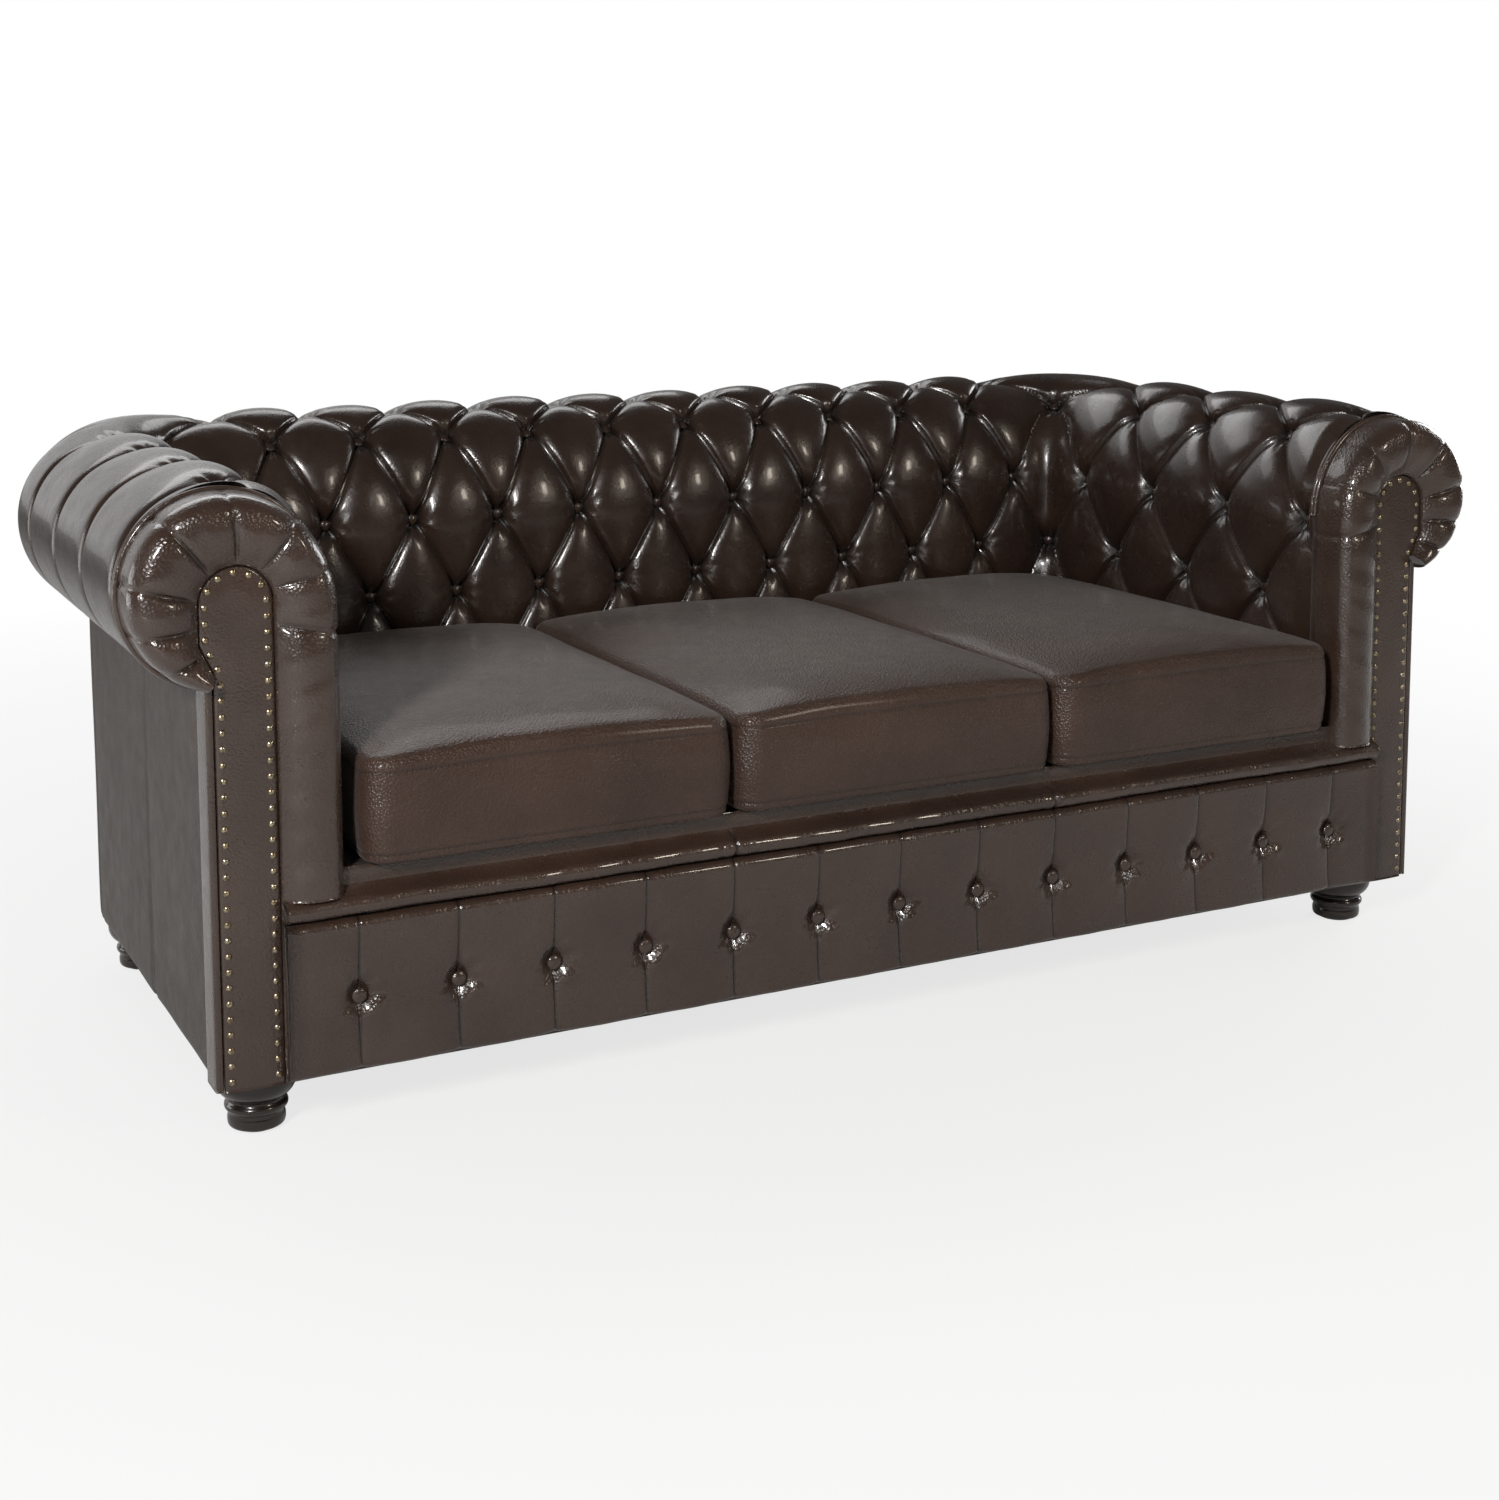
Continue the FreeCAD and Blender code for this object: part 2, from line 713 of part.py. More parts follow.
wires = []
for radius, height in ((low_corner_radius, panel_low), (outer_x - corner_x, panel_top)):
    end = float(outer_x - radius - size("side_seam"))
    near, far = float(corner_y + radius - panel), float(corner_y + radius)
    corners = [(-end, near), (end, near), (end, far), (-end, far), (-end, near)]
    wires.append(Part.makePolygon([FreeCAD.Vector(x, y, height) for x, y in corners]))
shaped("outer_back", loft(wires))

# Arm fronts: board, facing strip with its nails, pleated border and outer welt

head_top = size("head_height") + size("head_width") / 2
head_outer = strip_inner + size("head_width")
head_wall = head_top - size("neck_height") - size("neck_drop")
head_round = smaller_of(size("head_width") * 0.49, head_wall * 0.9)
pleats = (-52, -22, 8, 50, 92, 132, 160)
widest_step = math.radians(max(b - a for a, b in zip(pleats, pleats[1:]))) / 2
for side, name in ((1, "right"), (-1, "left")):

    def facing_outline(bottom):
        spots = [(strip_inner, bottom), (strip_inner, head_top), (head_outer, head_top)]
        spots += [(head_outer, size("neck_height") + size("neck_drop")), (strip_outer, size("neck_height"))]
        spots += [(strip_outer, bottom)]
        return [(x * side, z) for x, z in spots]

    for label, bottom, start, thickness in (
        ("front_board_", low, front + size("strip_proud"), size("board_thickness")),
        ("facing_strip_", size("skirt_bottom") - 5, front, size("strip_proud")),
    ):
        body, pad = padded_outline(label + name, facing_outline(bottom), start, thickness)
        round_at = [(side * strip_inner, head_top), (side * head_outer, head_top)]
        rounded_corners(body, pad, round_at, head_round)

    nails = []
    edge = float(size("nail_edge"))
    left_x, right_x = float(strip_inner) + edge, float(strip_outer) - edge
    head_x, head_z = float(strip_inner + size("head_width") / 2), float(size("head_height"))
    head_r = float(size("head_width")) / 2 - edge
    nail_low = float(size("skirt_bottom")) + edge
    neck = (head_x + head_r, float(size("neck_height") + size("neck_drop")))
    route = [(left_x, nail_low), (left_x, head_z)]
    bends = 24
    for i in range(1, bends):
        angle = math.pi * (1 - i / bends)
        route.append((head_x + head_r * math.cos(angle), head_z + head_r * math.sin(angle)))
    route += [(head_x + head_r, head_z), neck, (right_x, float(size("neck_height"))), (right_x, nail_low)]
    lengths = [math.dist(a, b) for a, b in zip(route, route[1:])]
    nail_count = int(sum(lengths) / size("nail_pitch"))
    pitch = sum(lengths) / nail_count
    dome_r, dome_h = float(size("nail_radius")), float(size("nail_height"))
    nail = dome(dome_r, dome_h, 0)
    for k in range(nail_count + 1):
        left = k * pitch
        step = 0
        while step < len(lengths) - 1 and left > lengths[step]:
            left -= lengths[step]
            step += 1
        share = min(left / lengths[step], 1)
        (ax, az), (bx, bz) = route[step], route[step + 1]
        copy = nail.copy()
        facing = FreeCAD.Rotation(FreeCAD.Vector(0, 0, 1), FreeCAD.Vector(0, -1, 0))
        where = FreeCAD.Vector(side * (ax + share * (bx - ax)), front, az + share * (bz - az))
        copy.Placement = FreeCAD.Placement(where, facing)
        nails.append(copy)
    shaped("facing_nails_" + name, Part.Compound(nails))

    # The border follows the facing's edge round the scroll and down to the seat lip
    scroll_r, scroll_z = float(size("scroll_radius")), float(size("scroll_axis_height"))
    wide = float(scroll_axis - border_inner)
    turn_z = float(size("face_turn_height") + size("leg_turn_rise"))
    tall = scroll_z + scroll_r - turn_z
    big_r = float(size("head_width") / 2 + gap) / math.cos(widest_step / 2)

    def border_pair(angle):
        """Inner and outer (x, z) of the border at an angle from the outward level line."""
        turned = math.radians(angle)
        run, rise, centre_z = (scroll_r, scroll_r, scroll_z) if angle <= 90 else (wide, tall, turn_z)
        outer = (float(scroll_axis) + run * math.cos(turned), centre_z + rise * math.sin(turned))
        if angle >= 0:
            inner = (head_x + big_r * math.cos(turned), head_z + big_r * math.sin(turned))
        else:
            share = angle / -float(size("roll_end_angle"))
            fold_z = float(size("neck_height") + size("neck_drop"))
            fold_x = head_x + big_r
            if share < 0.5:
                inner = (fold_x, head_z + (fold_z - head_z) * share * 2)
            else:
                inner = (fold_x + (float(strip_outer) + gap - fold_x) * (share * 2 - 1),
                         fold_z + (float(size("neck_height")) - fold_z) * (share * 2 - 1))
        return inner, outer

    stations = [(border_pair(-float(size("roll_end_angle"))), 0.5)]
    for i, angle in enumerate(pleats):
        before = pleats[i - 1] if i else -float(size("roll_end_angle"))
        stations.append((border_pair((before + angle) / 2), 1.0))
        stations.append((border_pair(angle), 0.0))
    stations.append((border_pair(180), 1.0))
    leg_inner, leg_outer = float(strip_inner) - gap, float(border_inner)
    leg_low = float(size("lip_top")) + gap
    leg_top = min(head_z, turn_z)
    for share, bulge in ((0.07, 0.0), (0.14, 1.0), (0.5, 1.0), (1.0, 0.9)):
        z = leg_top + (leg_low - leg_top) * share
        stations.append((((leg_inner, z), (leg_outer, z)), bulge))
    wires = []
    for (inner, outer), bulge in stations:
        swell = float(size("border_bulge")) - (1 - bulge) * float(size("border_pleat"))
        flat = float(size("border_pleat")) * (1 - bulge) / 2

        def border_place(t, depth, inner=inner, outer=outer):
            x = inner[0] + (outer[0] - inner[0]) * t
            z = inner[1] + (outer[1] - inner[1]) * t
            return FreeCAD.Vector(side * x, front + depth, z)

        back_edge = float(size("border_depth"))
        rim, drop = float(size("border_rim")), float(size("border_rim_drop"))
        edges = [
            ((0, 0), (0.45, -swell), (0.9, -1 + flat)),
            ((0.9, -1 + flat), (0.98, drop + flat), (1, rim)),
            ((1, rim), (1, back_edge)),
            ((1, back_edge), (0, back_edge)),
            ((0, back_edge), (0, 0)),
        ]
        wires.append(section_wire(edges, border_place))
    shaped("scroll_border_" + name, loft(wires))

    welt_in = strip_outer + gap
    plank("front_welt_" + name, across(side, welt_in, welt_in + size("welt_width")),
          (front, board_back), (panel_low, size("neck_height") - size("welt_width") * 3))

# Skirt with pleats and buttons, and the seat lip over it

skirt_half = float(strip_inner - size("seat_gap"))
pitch = float(size("skirt_button_pitch"))
number = int(round(size("skirt_buttons")))
columns = [(i - (number - 1) / 2) * pitch for i in range(number)]
thick, puff = float(size("skirt_thickness")), float(size("skirt_puff"))
low_z, high_z, mid_z = (float(size(a)) for a in ("skirt_bottom", "skirt_top", "skirt_button_height"))
near, far = float(front - size("seat_gap")), float(front) - thick


def skirt_section(x, pleat):
    """Closed section of the skirt: its front swells between pleats and dips at a button."""
    face = far + puff if pleat else far
    dip = puff * 0.8 if pleat else 0
    foot, belly, head = face + puff * 0.6, face + puff * 0.1, face + puff * 0.8
    edges = [
        ((foot, low_z), (belly, (low_z + mid_z) / 2), (face + dip, mid_z)),
        ((face + dip, mid_z), (belly, (mid_z + high_z) / 2), (head, high_z)),
        ((head, high_z), (near, high_z)),
        ((near, high_z), (near, low_z)),
        ((near, low_z), (foot, low_z)),
    ]
    return section_wire(edges, lambda y, z: FreeCAD.Vector(x, y, z))


wires = [skirt_section(-skirt_half, True)]
for i, x in enumerate(columns):
    before = columns[i - 1] if i else -skirt_half
    wires.append(skirt_section((before + x) / 2, False))
    wires.append(skirt_section(x, True))
wires.append(skirt_section((columns[-1] + skirt_half) / 2, False))
wires.append(skirt_section(skirt_half, True))
shaped("skirt", loft(wires))
button_r = float(size("skirt_button_radius"))
dimple = far + puff * 1.8 * (1 - 2 * button_r / pitch) - float(gap) * 2
buttons = [
    button(button_r, float(size("button_height")), (x, dimple, mid_z), (0, -1, 0))
    for x in columns
]
shaped("skirt_buttons", Part.Compound(buttons))

cushion_step = float(cushion_width + size("cushion_gap"))
lip_low, lip_high = float(size("lip_bottom")), float(size("lip_top"))
lip_front = float(front - size("lip_reach"))
lip_back = float(front - gap)
wires = []
seam_half = float(size("lip_seam_half"))
right_half = [(0, 0), (cushion_step / 2 - seam_half, 0), (cushion_step / 2, float(size("lip_pinch")))]
right_half += [(cushion_step / 2 + seam_half, 0), (cushion_step, 0), (skirt_half, 0)]
left_half = [(-place, pinch) for place, pinch in reversed(right_half[1:])]
round_over = float(size("lip_round"))
for place, pinch in left_half + right_half:
    nose = lip_front + pinch
    top, bottom = lip_high - pinch, lip_low
    edges = [
        ((nose + round_over, bottom), (nose, (bottom + top) / 2), (nose + round_over, top)),
        ((nose + round_over, top), (lip_back, top)),
        ((lip_back, top), (lip_back, bottom)),
        ((lip_back, bottom), (nose + round_over, bottom)),
    ]
    wires.append(section_wire(edges, lambda y, z, x=place: FreeCAD.Vector(x, y, z)))
shaped("seat_lip", loft(wires))

# Loose seat cushions: cover and foam core

cushion_front = -float(size("overall_depth")) / 2
cushion_back = float(corner_y - size("puff_height") - size("cushion_back_gap"))


def cushion_outline(centre, inset, height):
    """Rounded rectangle of a cushion at one height, drawn in by the inset."""
    half = float(cushion_width) / 2 - inset
    near, far = cushion_front + inset, cushion_back - inset
    r = float(size("cushion_corner"))
    k = r * (1 - math.sqrt(0.5))
    left, right = centre - half, centre + half
    spots = [
        ((left + r, near), (right - r, near)),
        ((right - r, near), (right - k, near + k), (right, near + r)),
        ((right, near + r), (right, far - r)),
        ((right, far - r), (right - k, far - k), (right - r, far)),
        ((right - r, far), (left + r, far)),
        ((left + r, far), (left + k, far - k), (left, far - r)),
        ((left, far - r), (left, near + r)),
        ((left, near + r), (left + k, near + k), (left + r, near)),
    ]
    return section_wire(spots, lambda x, y: FreeCAD.Vector(x, y, height))


def cushion_solid(centre, shrink):
    swell, edge = float(size("cushion_side_swell")), float(size("cushion_edge"))
    base, tall = float(size("cushion_bottom")) + shrink, float(size("cushion_height")) - 2 * shrink
    crown = float(size("cushion_crown"))
    levels = [
        (edge, 0), (swell, 0.05), (swell * 0.3, 0.25), (0, 0.5), (swell * 0.3, 0.75),
        (swell, 0.93), (edge, 1),
    ]
    wires = [cushion_outline(centre, inset + shrink, base + tall * share) for inset, share in levels]
    for inset, share in ((30, 0.42), (60, 0.7), (100, 0.9), (150, 1)):
        wires.append(cushion_outline(centre, edge + inset + shrink, base + tall + crown * share))
    return loft(wires)


for i, name in enumerate(("left", "middle", "right")):
    centre = (i - 1) * cushion_step
    wall = float(size("cushion_cover"))
    whole = cushion_solid(centre, 0)
    space = cushion_solid(centre, wall)
    shaped("cushion_" + name, whole.cut(space))
    shaped("cushion_core_" + name, cushion_solid(centre, wall + float(size("core_gap"))))

# Feet, turned to a bun over a waist with a bead and a small base

foot_top = low - size("cover_thickness") - size("seat_gap")
bun, waist, base = size("foot_radius"), size("foot_waist"), size("foot_base")
start = size("glide_height")
tall = foot_top - start
bore = size("bolt_radius") + size("bore_gap")
bore_floor = low + size("block_height") - size("bolt_length") - size("bore_gap")
for side, name in ((1, "right"), (-1, "left")):
    for end, y in (("front", front + size("foot_front")), ("back", corner_y - size("foot_back"))):
        x = (half_width - size("foot_inset")) * side
        profile = [
            (floor, start), (base - 2, start), (base, start + 3), (base + 1, start + tall * 0.16),
            (waist - 3, start + tall * 0.28), (waist, start + tall * 0.33), (waist, start + tall * 0.4),
            (waist - 3, start + tall * 0.45), (bun - 7, start + tall * 0.56),
            (bun - 2, start + tall * 0.66), (bun, start + tall * 0.78), (bun - 2, start + tall * 0.9),
            (bun - 7, foot_top), (bore, foot_top), (bore, bore_floor), (floor, bore_floor),
        ]
        body, sketch = body_with_outline("foot_%s_%s" % (end, name), "XZ_Plane", profile)
        turned = body.newObject("PartDesign::Revolution", body.Label + "_turned")
        turned.Profile = sketch
        turned.ReferenceAxis = (sketch, ["V_Axis"])
        turned.Angle = 360
        body.setExpression("Placement.Base.x", term(x))
        body.setExpression("Placement.Base.y", term(y))
        parts.append(body)

doc.recompute()

os.makedirs("parts", exist_ok=True)
for item in doc.Objects:
    if "Invalid" in item.State or "Error" in item.State:
        raise RuntimeError("%s did not build: %s" % (item.Label, item.State))
for item in parts:
    if item.Shape.isNull() or not item.Shape.isValid():
        raise RuntimeError("%s has no valid shape" % item.Label)
for item in parts:
    item.Shape.exportStep("parts/%s.step" % item.Label)
print("%d sub-parts written" % len(parts))
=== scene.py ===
import math
import bpy
import numpy as np
from mathutils import Matrix, Vector


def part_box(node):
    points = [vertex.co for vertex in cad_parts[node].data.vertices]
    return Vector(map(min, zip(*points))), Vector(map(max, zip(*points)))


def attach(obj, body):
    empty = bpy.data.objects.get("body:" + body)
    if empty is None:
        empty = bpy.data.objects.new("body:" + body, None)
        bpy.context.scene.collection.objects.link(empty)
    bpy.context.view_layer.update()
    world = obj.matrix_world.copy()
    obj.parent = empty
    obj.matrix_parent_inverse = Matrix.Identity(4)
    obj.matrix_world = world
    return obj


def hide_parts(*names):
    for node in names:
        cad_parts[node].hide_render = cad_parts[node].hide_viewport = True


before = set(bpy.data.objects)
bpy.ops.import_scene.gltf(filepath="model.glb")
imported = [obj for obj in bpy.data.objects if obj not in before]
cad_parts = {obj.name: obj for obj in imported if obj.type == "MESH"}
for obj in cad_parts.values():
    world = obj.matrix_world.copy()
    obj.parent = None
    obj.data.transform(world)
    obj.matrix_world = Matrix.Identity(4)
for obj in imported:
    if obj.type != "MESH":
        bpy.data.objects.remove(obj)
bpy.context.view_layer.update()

print("frame loaded:", len(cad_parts), "nodes")

# Lengths below are in millimetres and turn into metres only where a mesh is made
toMetres = 0.001
seeded = np.random.default_rng(11)
sides = ((1, "right"), (-1, "left"))

# The inside face of back and arms in section: n runs outwards from the roll's axis
roll = {
    "axisX": 857.0, "axisY": 362.0, "axisHeight": 645.0, "radius": 118.0, "endAngle": -75.0,
    "faceInset": 116.0, "turnHeight": 600.0, "startHeight": 300.0, "cornerRound": 28.0, "armFront": -404.7,
    "hiddenDepth": -60.0, "hiddenTop": 700.0, "hiddenInner": 21.7, "hiddenTurn": 540.0,
}
cornerX = roll["axisX"] - roll["faceInset"]
cornerY = roll["axisY"] - roll["faceInset"]


# Materials

# One node: each input gets its value, or a link where the value is another node's socket
def makeNode(tree, kind, inputs, **settings):
    node = tree.nodes.new(kind)
    for key, value in settings.items():
        setattr(node, key, value)
    for key, value in inputs.items():
        if isinstance(value, bpy.types.NodeSocket):
            tree.links.new(value, node.inputs[key])
        else:
            node.inputs[key].default_value = value
    return node


# A material with an empty node tree
def newMaterial(name):
    material = bpy.data.materials.new(name)
    material.use_nodes = True
    material.node_tree.nodes.clear()
    return material, material.node_tree


# One principled shader with the given inputs, shown by the material's output
def showShader(tree, inputs):
    shader = makeNode(tree, "ShaderNodeBsdfPrincipled", inputs)
    makeNode(tree, "ShaderNodeOutputMaterial", {"Surface": shader.outputs["BSDF"]})


# The point's place on its own object, in metres
def objectPlace(tree):
    return makeNode(tree, "ShaderNodeTexCoord", {}).outputs["Object"]


# Noise at a place, with so many cells in a metre
def noiseNode(tree, place, scale, detail=3.0, rough=0.5):
    inputs = {"Vector": place, "Scale": scale, "Detail": detail, "Roughness": rough}
    return makeNode(tree, "ShaderNodeTexNoise", inputs).outputs["Fac"]


# Colour that goes from dark at the low value to light at the high one
def rampNode(tree, value, low, high, dark, light):
    ramp = makeNode(tree, "ShaderNodeValToRGB", {"Fac": value})
    for element, stop, colour in zip(ramp.color_ramp.elements, (low, high), (dark, light)):
        element.position = stop
        element.color = (*colour, 1.0)
    return ramp.outputs["Color"]


# Straight map from one span of values to another, held at both ends
def rangeNode(tree, value, low, high, fromLow=0.3, fromHigh=0.7):
    inputs = {"Value": value, "From Min": fromLow, "From Max": fromHigh, "To Min": low, "To Max": high}
    return makeNode(tree, "ShaderNodeMapRange", inputs).outputs["Result"]


# Normal tilted by a height's slope, on top of an earlier normal where there is one
def bumpNode(tree, height, strength, distance, before=None):
    inputs = {"Height": height, "Strength": strength, "Distance": distance}
    if before is not None:
        inputs["Normal"] = before
    return makeNode(tree, "ShaderNodeBump", inputs).outputs["Normal"]


leatherLooks = {
    "buttonedLeather": {
        "dark": (0.019, 0.0105, 0.0072), "light": (0.034, 0.0195, 0.0135), "shine": 0.5, "sheen": 0.03,
        "roughLow": 0.20, "roughHigh": 0.34, "coat": 0.35, "coatRough": 0.10,
        "grain": 420.0, "grainBump": 0.14, "wrinkle": 0.35,
    },
    "seatLeather": {
        "dark": (0.040, 0.0215, 0.0150), "light": (0.059, 0.0335, 0.0240), "shine": 0.36, "sheen": 0.09,
        "roughLow": 0.30, "roughHigh": 0.46, "coat": 0.15, "coatRough": 0.15,
        "grain": 330.0, "grainBump": 0.75, "wrinkle": 0.25,
    },
    "borderLeather": {
        "dark": (0.031, 0.017, 0.0118), "light": (0.050, 0.0285, 0.0200), "shine": 0.5, "sheen": 0.04,
        "roughLow": 0.22, "roughHigh": 0.40, "coat": 0.75, "coatRough": 0.09,
        "grain": 300.0, "grainBump": 0.42, "wrinkle": 0.35,
    },
    "panelLeather": {
        "dark": (0.027, 0.0175, 0.013), "light": (0.040, 0.027, 0.0205), "shine": 0.5, "sheen": 0.03,
        "roughLow": 0.42, "roughHigh": 0.54, "coat": 0.0, "coatRough": 0.2,
        "grain": 340.0, "grainBump": 0.34, "wrinkle": 0.20,
    },
}
# The fold factor scales the leather's dark colour down to the painted shade colour of folds and seams
leatherPattern = {"slow": 9.0, "patchy": 34.0, "crease": 60.0, "creaseDepth": 0.0012, "grainDepth": 0.0016,
                  "paintedShadeFactor": 0.22, "sheenRough": 0.45}


# Leather: colour follows slow noise and takes painted shade in the folds and seams, roughness follows
# patchy noise, and the normal has creases from fine noise with a grain of small cells on top
def leatherMaterial(name):
    look, pattern = leatherLooks[name], leatherPattern
    material, tree = newMaterial(name)
    place = objectPlace(tree)
    slow = noiseNode(tree, place, pattern["slow"], 4.0)
    # Painted shade: the mesh's fold attribute mixes the colour towards a far darker one in folds, seams and
    # pits
    inFold = makeNode(tree, "ShaderNodeAttribute", {}, attribute_name="paintedFoldShade")
    shaded = makeNode(tree, "ShaderNodeMix", {
        "Factor": inFold.outputs["Fac"],
        "A": rampNode(tree, slow, 0.3, 0.7, look["dark"], look["light"]),
        "B": (*[pattern["paintedShadeFactor"] * part for part in look["dark"]], 1.0),
    }, data_type="RGBA")
    patchy = noiseNode(tree, place, pattern["patchy"])
    creases = noiseNode(tree, place, pattern["crease"], 6.0, 0.6)
    cells = makeNode(tree, "ShaderNodeTexVoronoi", {"Vector": place, "Scale": look["grain"]})
    creased = bumpNode(tree, creases, look["wrinkle"], pattern["creaseDepth"])
    grained = bumpNode(tree, cells.outputs["Distance"], look["grainBump"], pattern["grainDepth"], creased)
    showShader(tree, {
        "Base Color": shaded.outputs["Result"],
        "Roughness": rangeNode(tree, patchy, look["roughLow"], look["roughHigh"]),
        "Normal": grained,
        "Specular IOR Level": look["shine"],
        "Sheen Weight": look["sheen"], "Sheen Roughness": pattern["sheenRough"],
        "Coat Weight": look["coat"], "Coat Roughness": look["coatRough"],
    })
    return material


# Wood: noise stretched along X gives the colour, the roughness and a shallow bump
def woodMaterial(name, dark, light, rough, coat):
    material, tree = newMaterial(name)
    stretched = makeNode(tree, "ShaderNodeMapping", {"Vector": objectPlace(tree), "Scale": (2.0, 30.0, 30.0)})
    grain = noiseNode(tree, stretched.outputs["Vector"], 3.0, 6.0, 0.6)
    showShader(tree, {
        "Base Color": rampNode(tree, grain, 0.35, 0.65, dark, light),
        "Roughness": rangeNode(tree, grain, rough - 0.06, rough + 0.06),
        "Normal": bumpNode(tree, grain, 0.15, 0.0006),
        "Coat Weight": coat, "Coat Roughness": 0.08,
    })
    return material


# Metal: fine noise is a patina that is darker and rougher in spots
def metalMaterial(name, dark, light, rough):
    material, tree = newMaterial(name)
    patina = noiseNode(tree, objectPlace(tree), 260.0, 4.0)
    showShader(tree, {
        "Base Color": rampNode(tree, patina, 0.35, 0.62, dark, light),
        "Roughness": rangeNode(tree, patina, rough + 0.12, rough - 0.05),
        "Normal": bumpNode(tree, patina, 0.12, 0.0004),
        "Metallic": 1.0,
    })
    return material


# Cloth, and other dull stuff: mottled colour under the bump of a fine wave
def clothMaterial(name, dark, light):
    material, tree = newMaterial(name)
    place = objectPlace(tree)
    weave = makeNode(tree, "ShaderNodeTexWave", {"Vector": place, "Scale": 320.0, "Distortion": 1.5})
    showShader(tree, {
        "Base Color": rampNode(tree, noiseNode(tree, place, 40.0, 4.0), 0.3, 0.7, dark, light),
        "Normal": bumpNode(tree, weave.outputs["Fac"], 0.3, 0.0004),
        "Roughness": 0.85,
    })
    return material


# Dark and light colour, then a wood's roughness and coat or a metal's roughness
otherLooks = {
    "frameWood": (woodMaterial, (0.30, 0.19, 0.10), (0.46, 0.32, 0.19), 0.6, 0.0),
    "footWood": (woodMaterial, (0.008, 0.005, 0.004), (0.020, 0.012, 0.009), 0.22, 0.6),
    "nailBrass": (metalMaterial, (0.15, 0.115, 0.07), (0.55, 0.46, 0.32), 0.28),
    "steel": (metalMaterial, (0.30, 0.30, 0.31), (0.55, 0.55, 0.56), 0.35),
    "dustCloth": (clothMaterial, (0.012, 0.012, 0.013), (0.030, 0.030, 0.032)),
    "deckCloth": (clothMaterial, (0.020, 0.014, 0.011), (0.040, 0.029, 0.023)),
    "foam": (clothMaterial, (0.62, 0.58, 0.44), (0.74, 0.70, 0.56)),
    "glide": (clothMaterial, (0.03, 0.03, 0.03), (0.06, 0.06, 0.06)),
}
materials = {name: leatherMaterial(name) for name in leatherLooks}
for name, (make, *look) in otherLooks.items():
    materials[name] = make(name, *look)
print("materials made:", len(materials))


# Meshes from grids

# Signed volume of a closed triangle soup: the sum of each corner triple's box product over six
def signedVolume(points, triangles):
    a, b, c = (points[triangles[:, k]] for k in range(3))
    return float(np.einsum("ij,ij->i", a, np.cross(b, c)).sum() / 6)


# A smooth shaded mesh of one material, linked to the scene
def finishPiece(name, points, faces, material):
    mesh = bpy.data.meshes.new(name)
    mesh.from_pydata(points, [], faces)
    mesh.update()
    mesh.polygons.foreach_set("use_smooth", np.ones(len(mesh.polygons), bool))
    mesh.materials.append(materials[material])
    piece = bpy.data.objects.new(name, mesh)
    bpy.context.scene.collection.objects.link(piece)
    return piece


# A closed tube of sections: grid[i, j] is point j of section i, caps close both ends, and each cell
# is two triangles, cut along its other diagonal where it leans. Dark is painted shade by how far points lie
# in folds
def tubePiece(name, grid, material, leaning=None, dark=None):
    sections, around = grid.shape[:2]
    points = grid.reshape(-1, 3) * toMetres
    i, j = np.meshgrid(np.arange(sections - 1), np.arange(around), indexing="ij")
    following = (j + 1) % around
    a, b = i * around + j, (i + 1) * around + j
    c, d = (i + 1) * around + following, i * around + following
    leaning = np.zeros((*a.shape, 1), bool) if leaning is None else leaning[..., None]
    one = np.where(leaning, np.stack([a, b, d], -1), np.stack([a, b, c], -1)).reshape(-1, 3)
    two = np.where(leaning, np.stack([b, c, d], -1), np.stack([a, c, d], -1)).reshape(-1, 3)
    triangles = np.concatenate([one, two])
    first = np.arange(around)
    caps = [first[::-1], first + (sections - 1) * around]
    fans = [np.stack([np.full(around - 2, cap[0]), cap[1:-1], cap[2:]], -1) for cap in caps]
    order = -1 if signedVolume(points, np.concatenate([triangles] + fans)) < 0 else 1
    faces = triangles[:, ::order].tolist() + [cap[::order].tolist() for cap in caps]
    piece = finishPiece(name, points.tolist(), faces, material)
    # Painted shade per point, kept as an attribute that darkens the leather's colour in the folds
    if dark is not None:
        whole = np.zeros((sections, around), np.float32)
        whole[:, :dark.shape[1]] = dark
        piece.data.attributes.new("paintedFoldShade", "FLOAT", "POINT").data.foreach_set("value", whole.ravel())
    return piece


# The body that a piece rides and the CAD node that it stands for, which is hidden
def assign(piece, body, node):
    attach(piece, body)
    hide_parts(node)


# Inside back, arms and corners: one buttoned sheet over the roll, cut into five pieces

tufting = {
    "backColumns": 11, "armColumns": 7, "armSpacing": 88.5, "rowPitch": 113.0,
    "rowHeights": (382.0, 495.0, 608.0), "highRowAngle": 125.0, "crestRowAngle": 94.0, "crestRow": 5,
    "cells": 20, "fanSteps": 28, "joinSteps": 14,
    "puff": 12.5, "pit": 24.0, "pitWidth": 19.0, "fold": 7.5,
    "wrinkle": 1.3, "wrinkles": 9, "wrinkleReach": 20.0, "wrinkleWidth": 11.0,
    "outerPuff": 3.0, "outerPleat": 6.0, "outerPleatWidth": 0.07, "outerFade": 0.9, "endFade": 0.35,
    "frontStation": 8.05, "frontFade": 0.3, "frontFlat": 0.6, "paintedShadeBelow": -1.0, "paintedShadeDepth": 11.0,
}
crestRow, rowPitch, cells = tufting["crestRow"], tufting["rowPitch"], tufting["cells"]
backSpacing = cornerX / tufting["backColumns"]


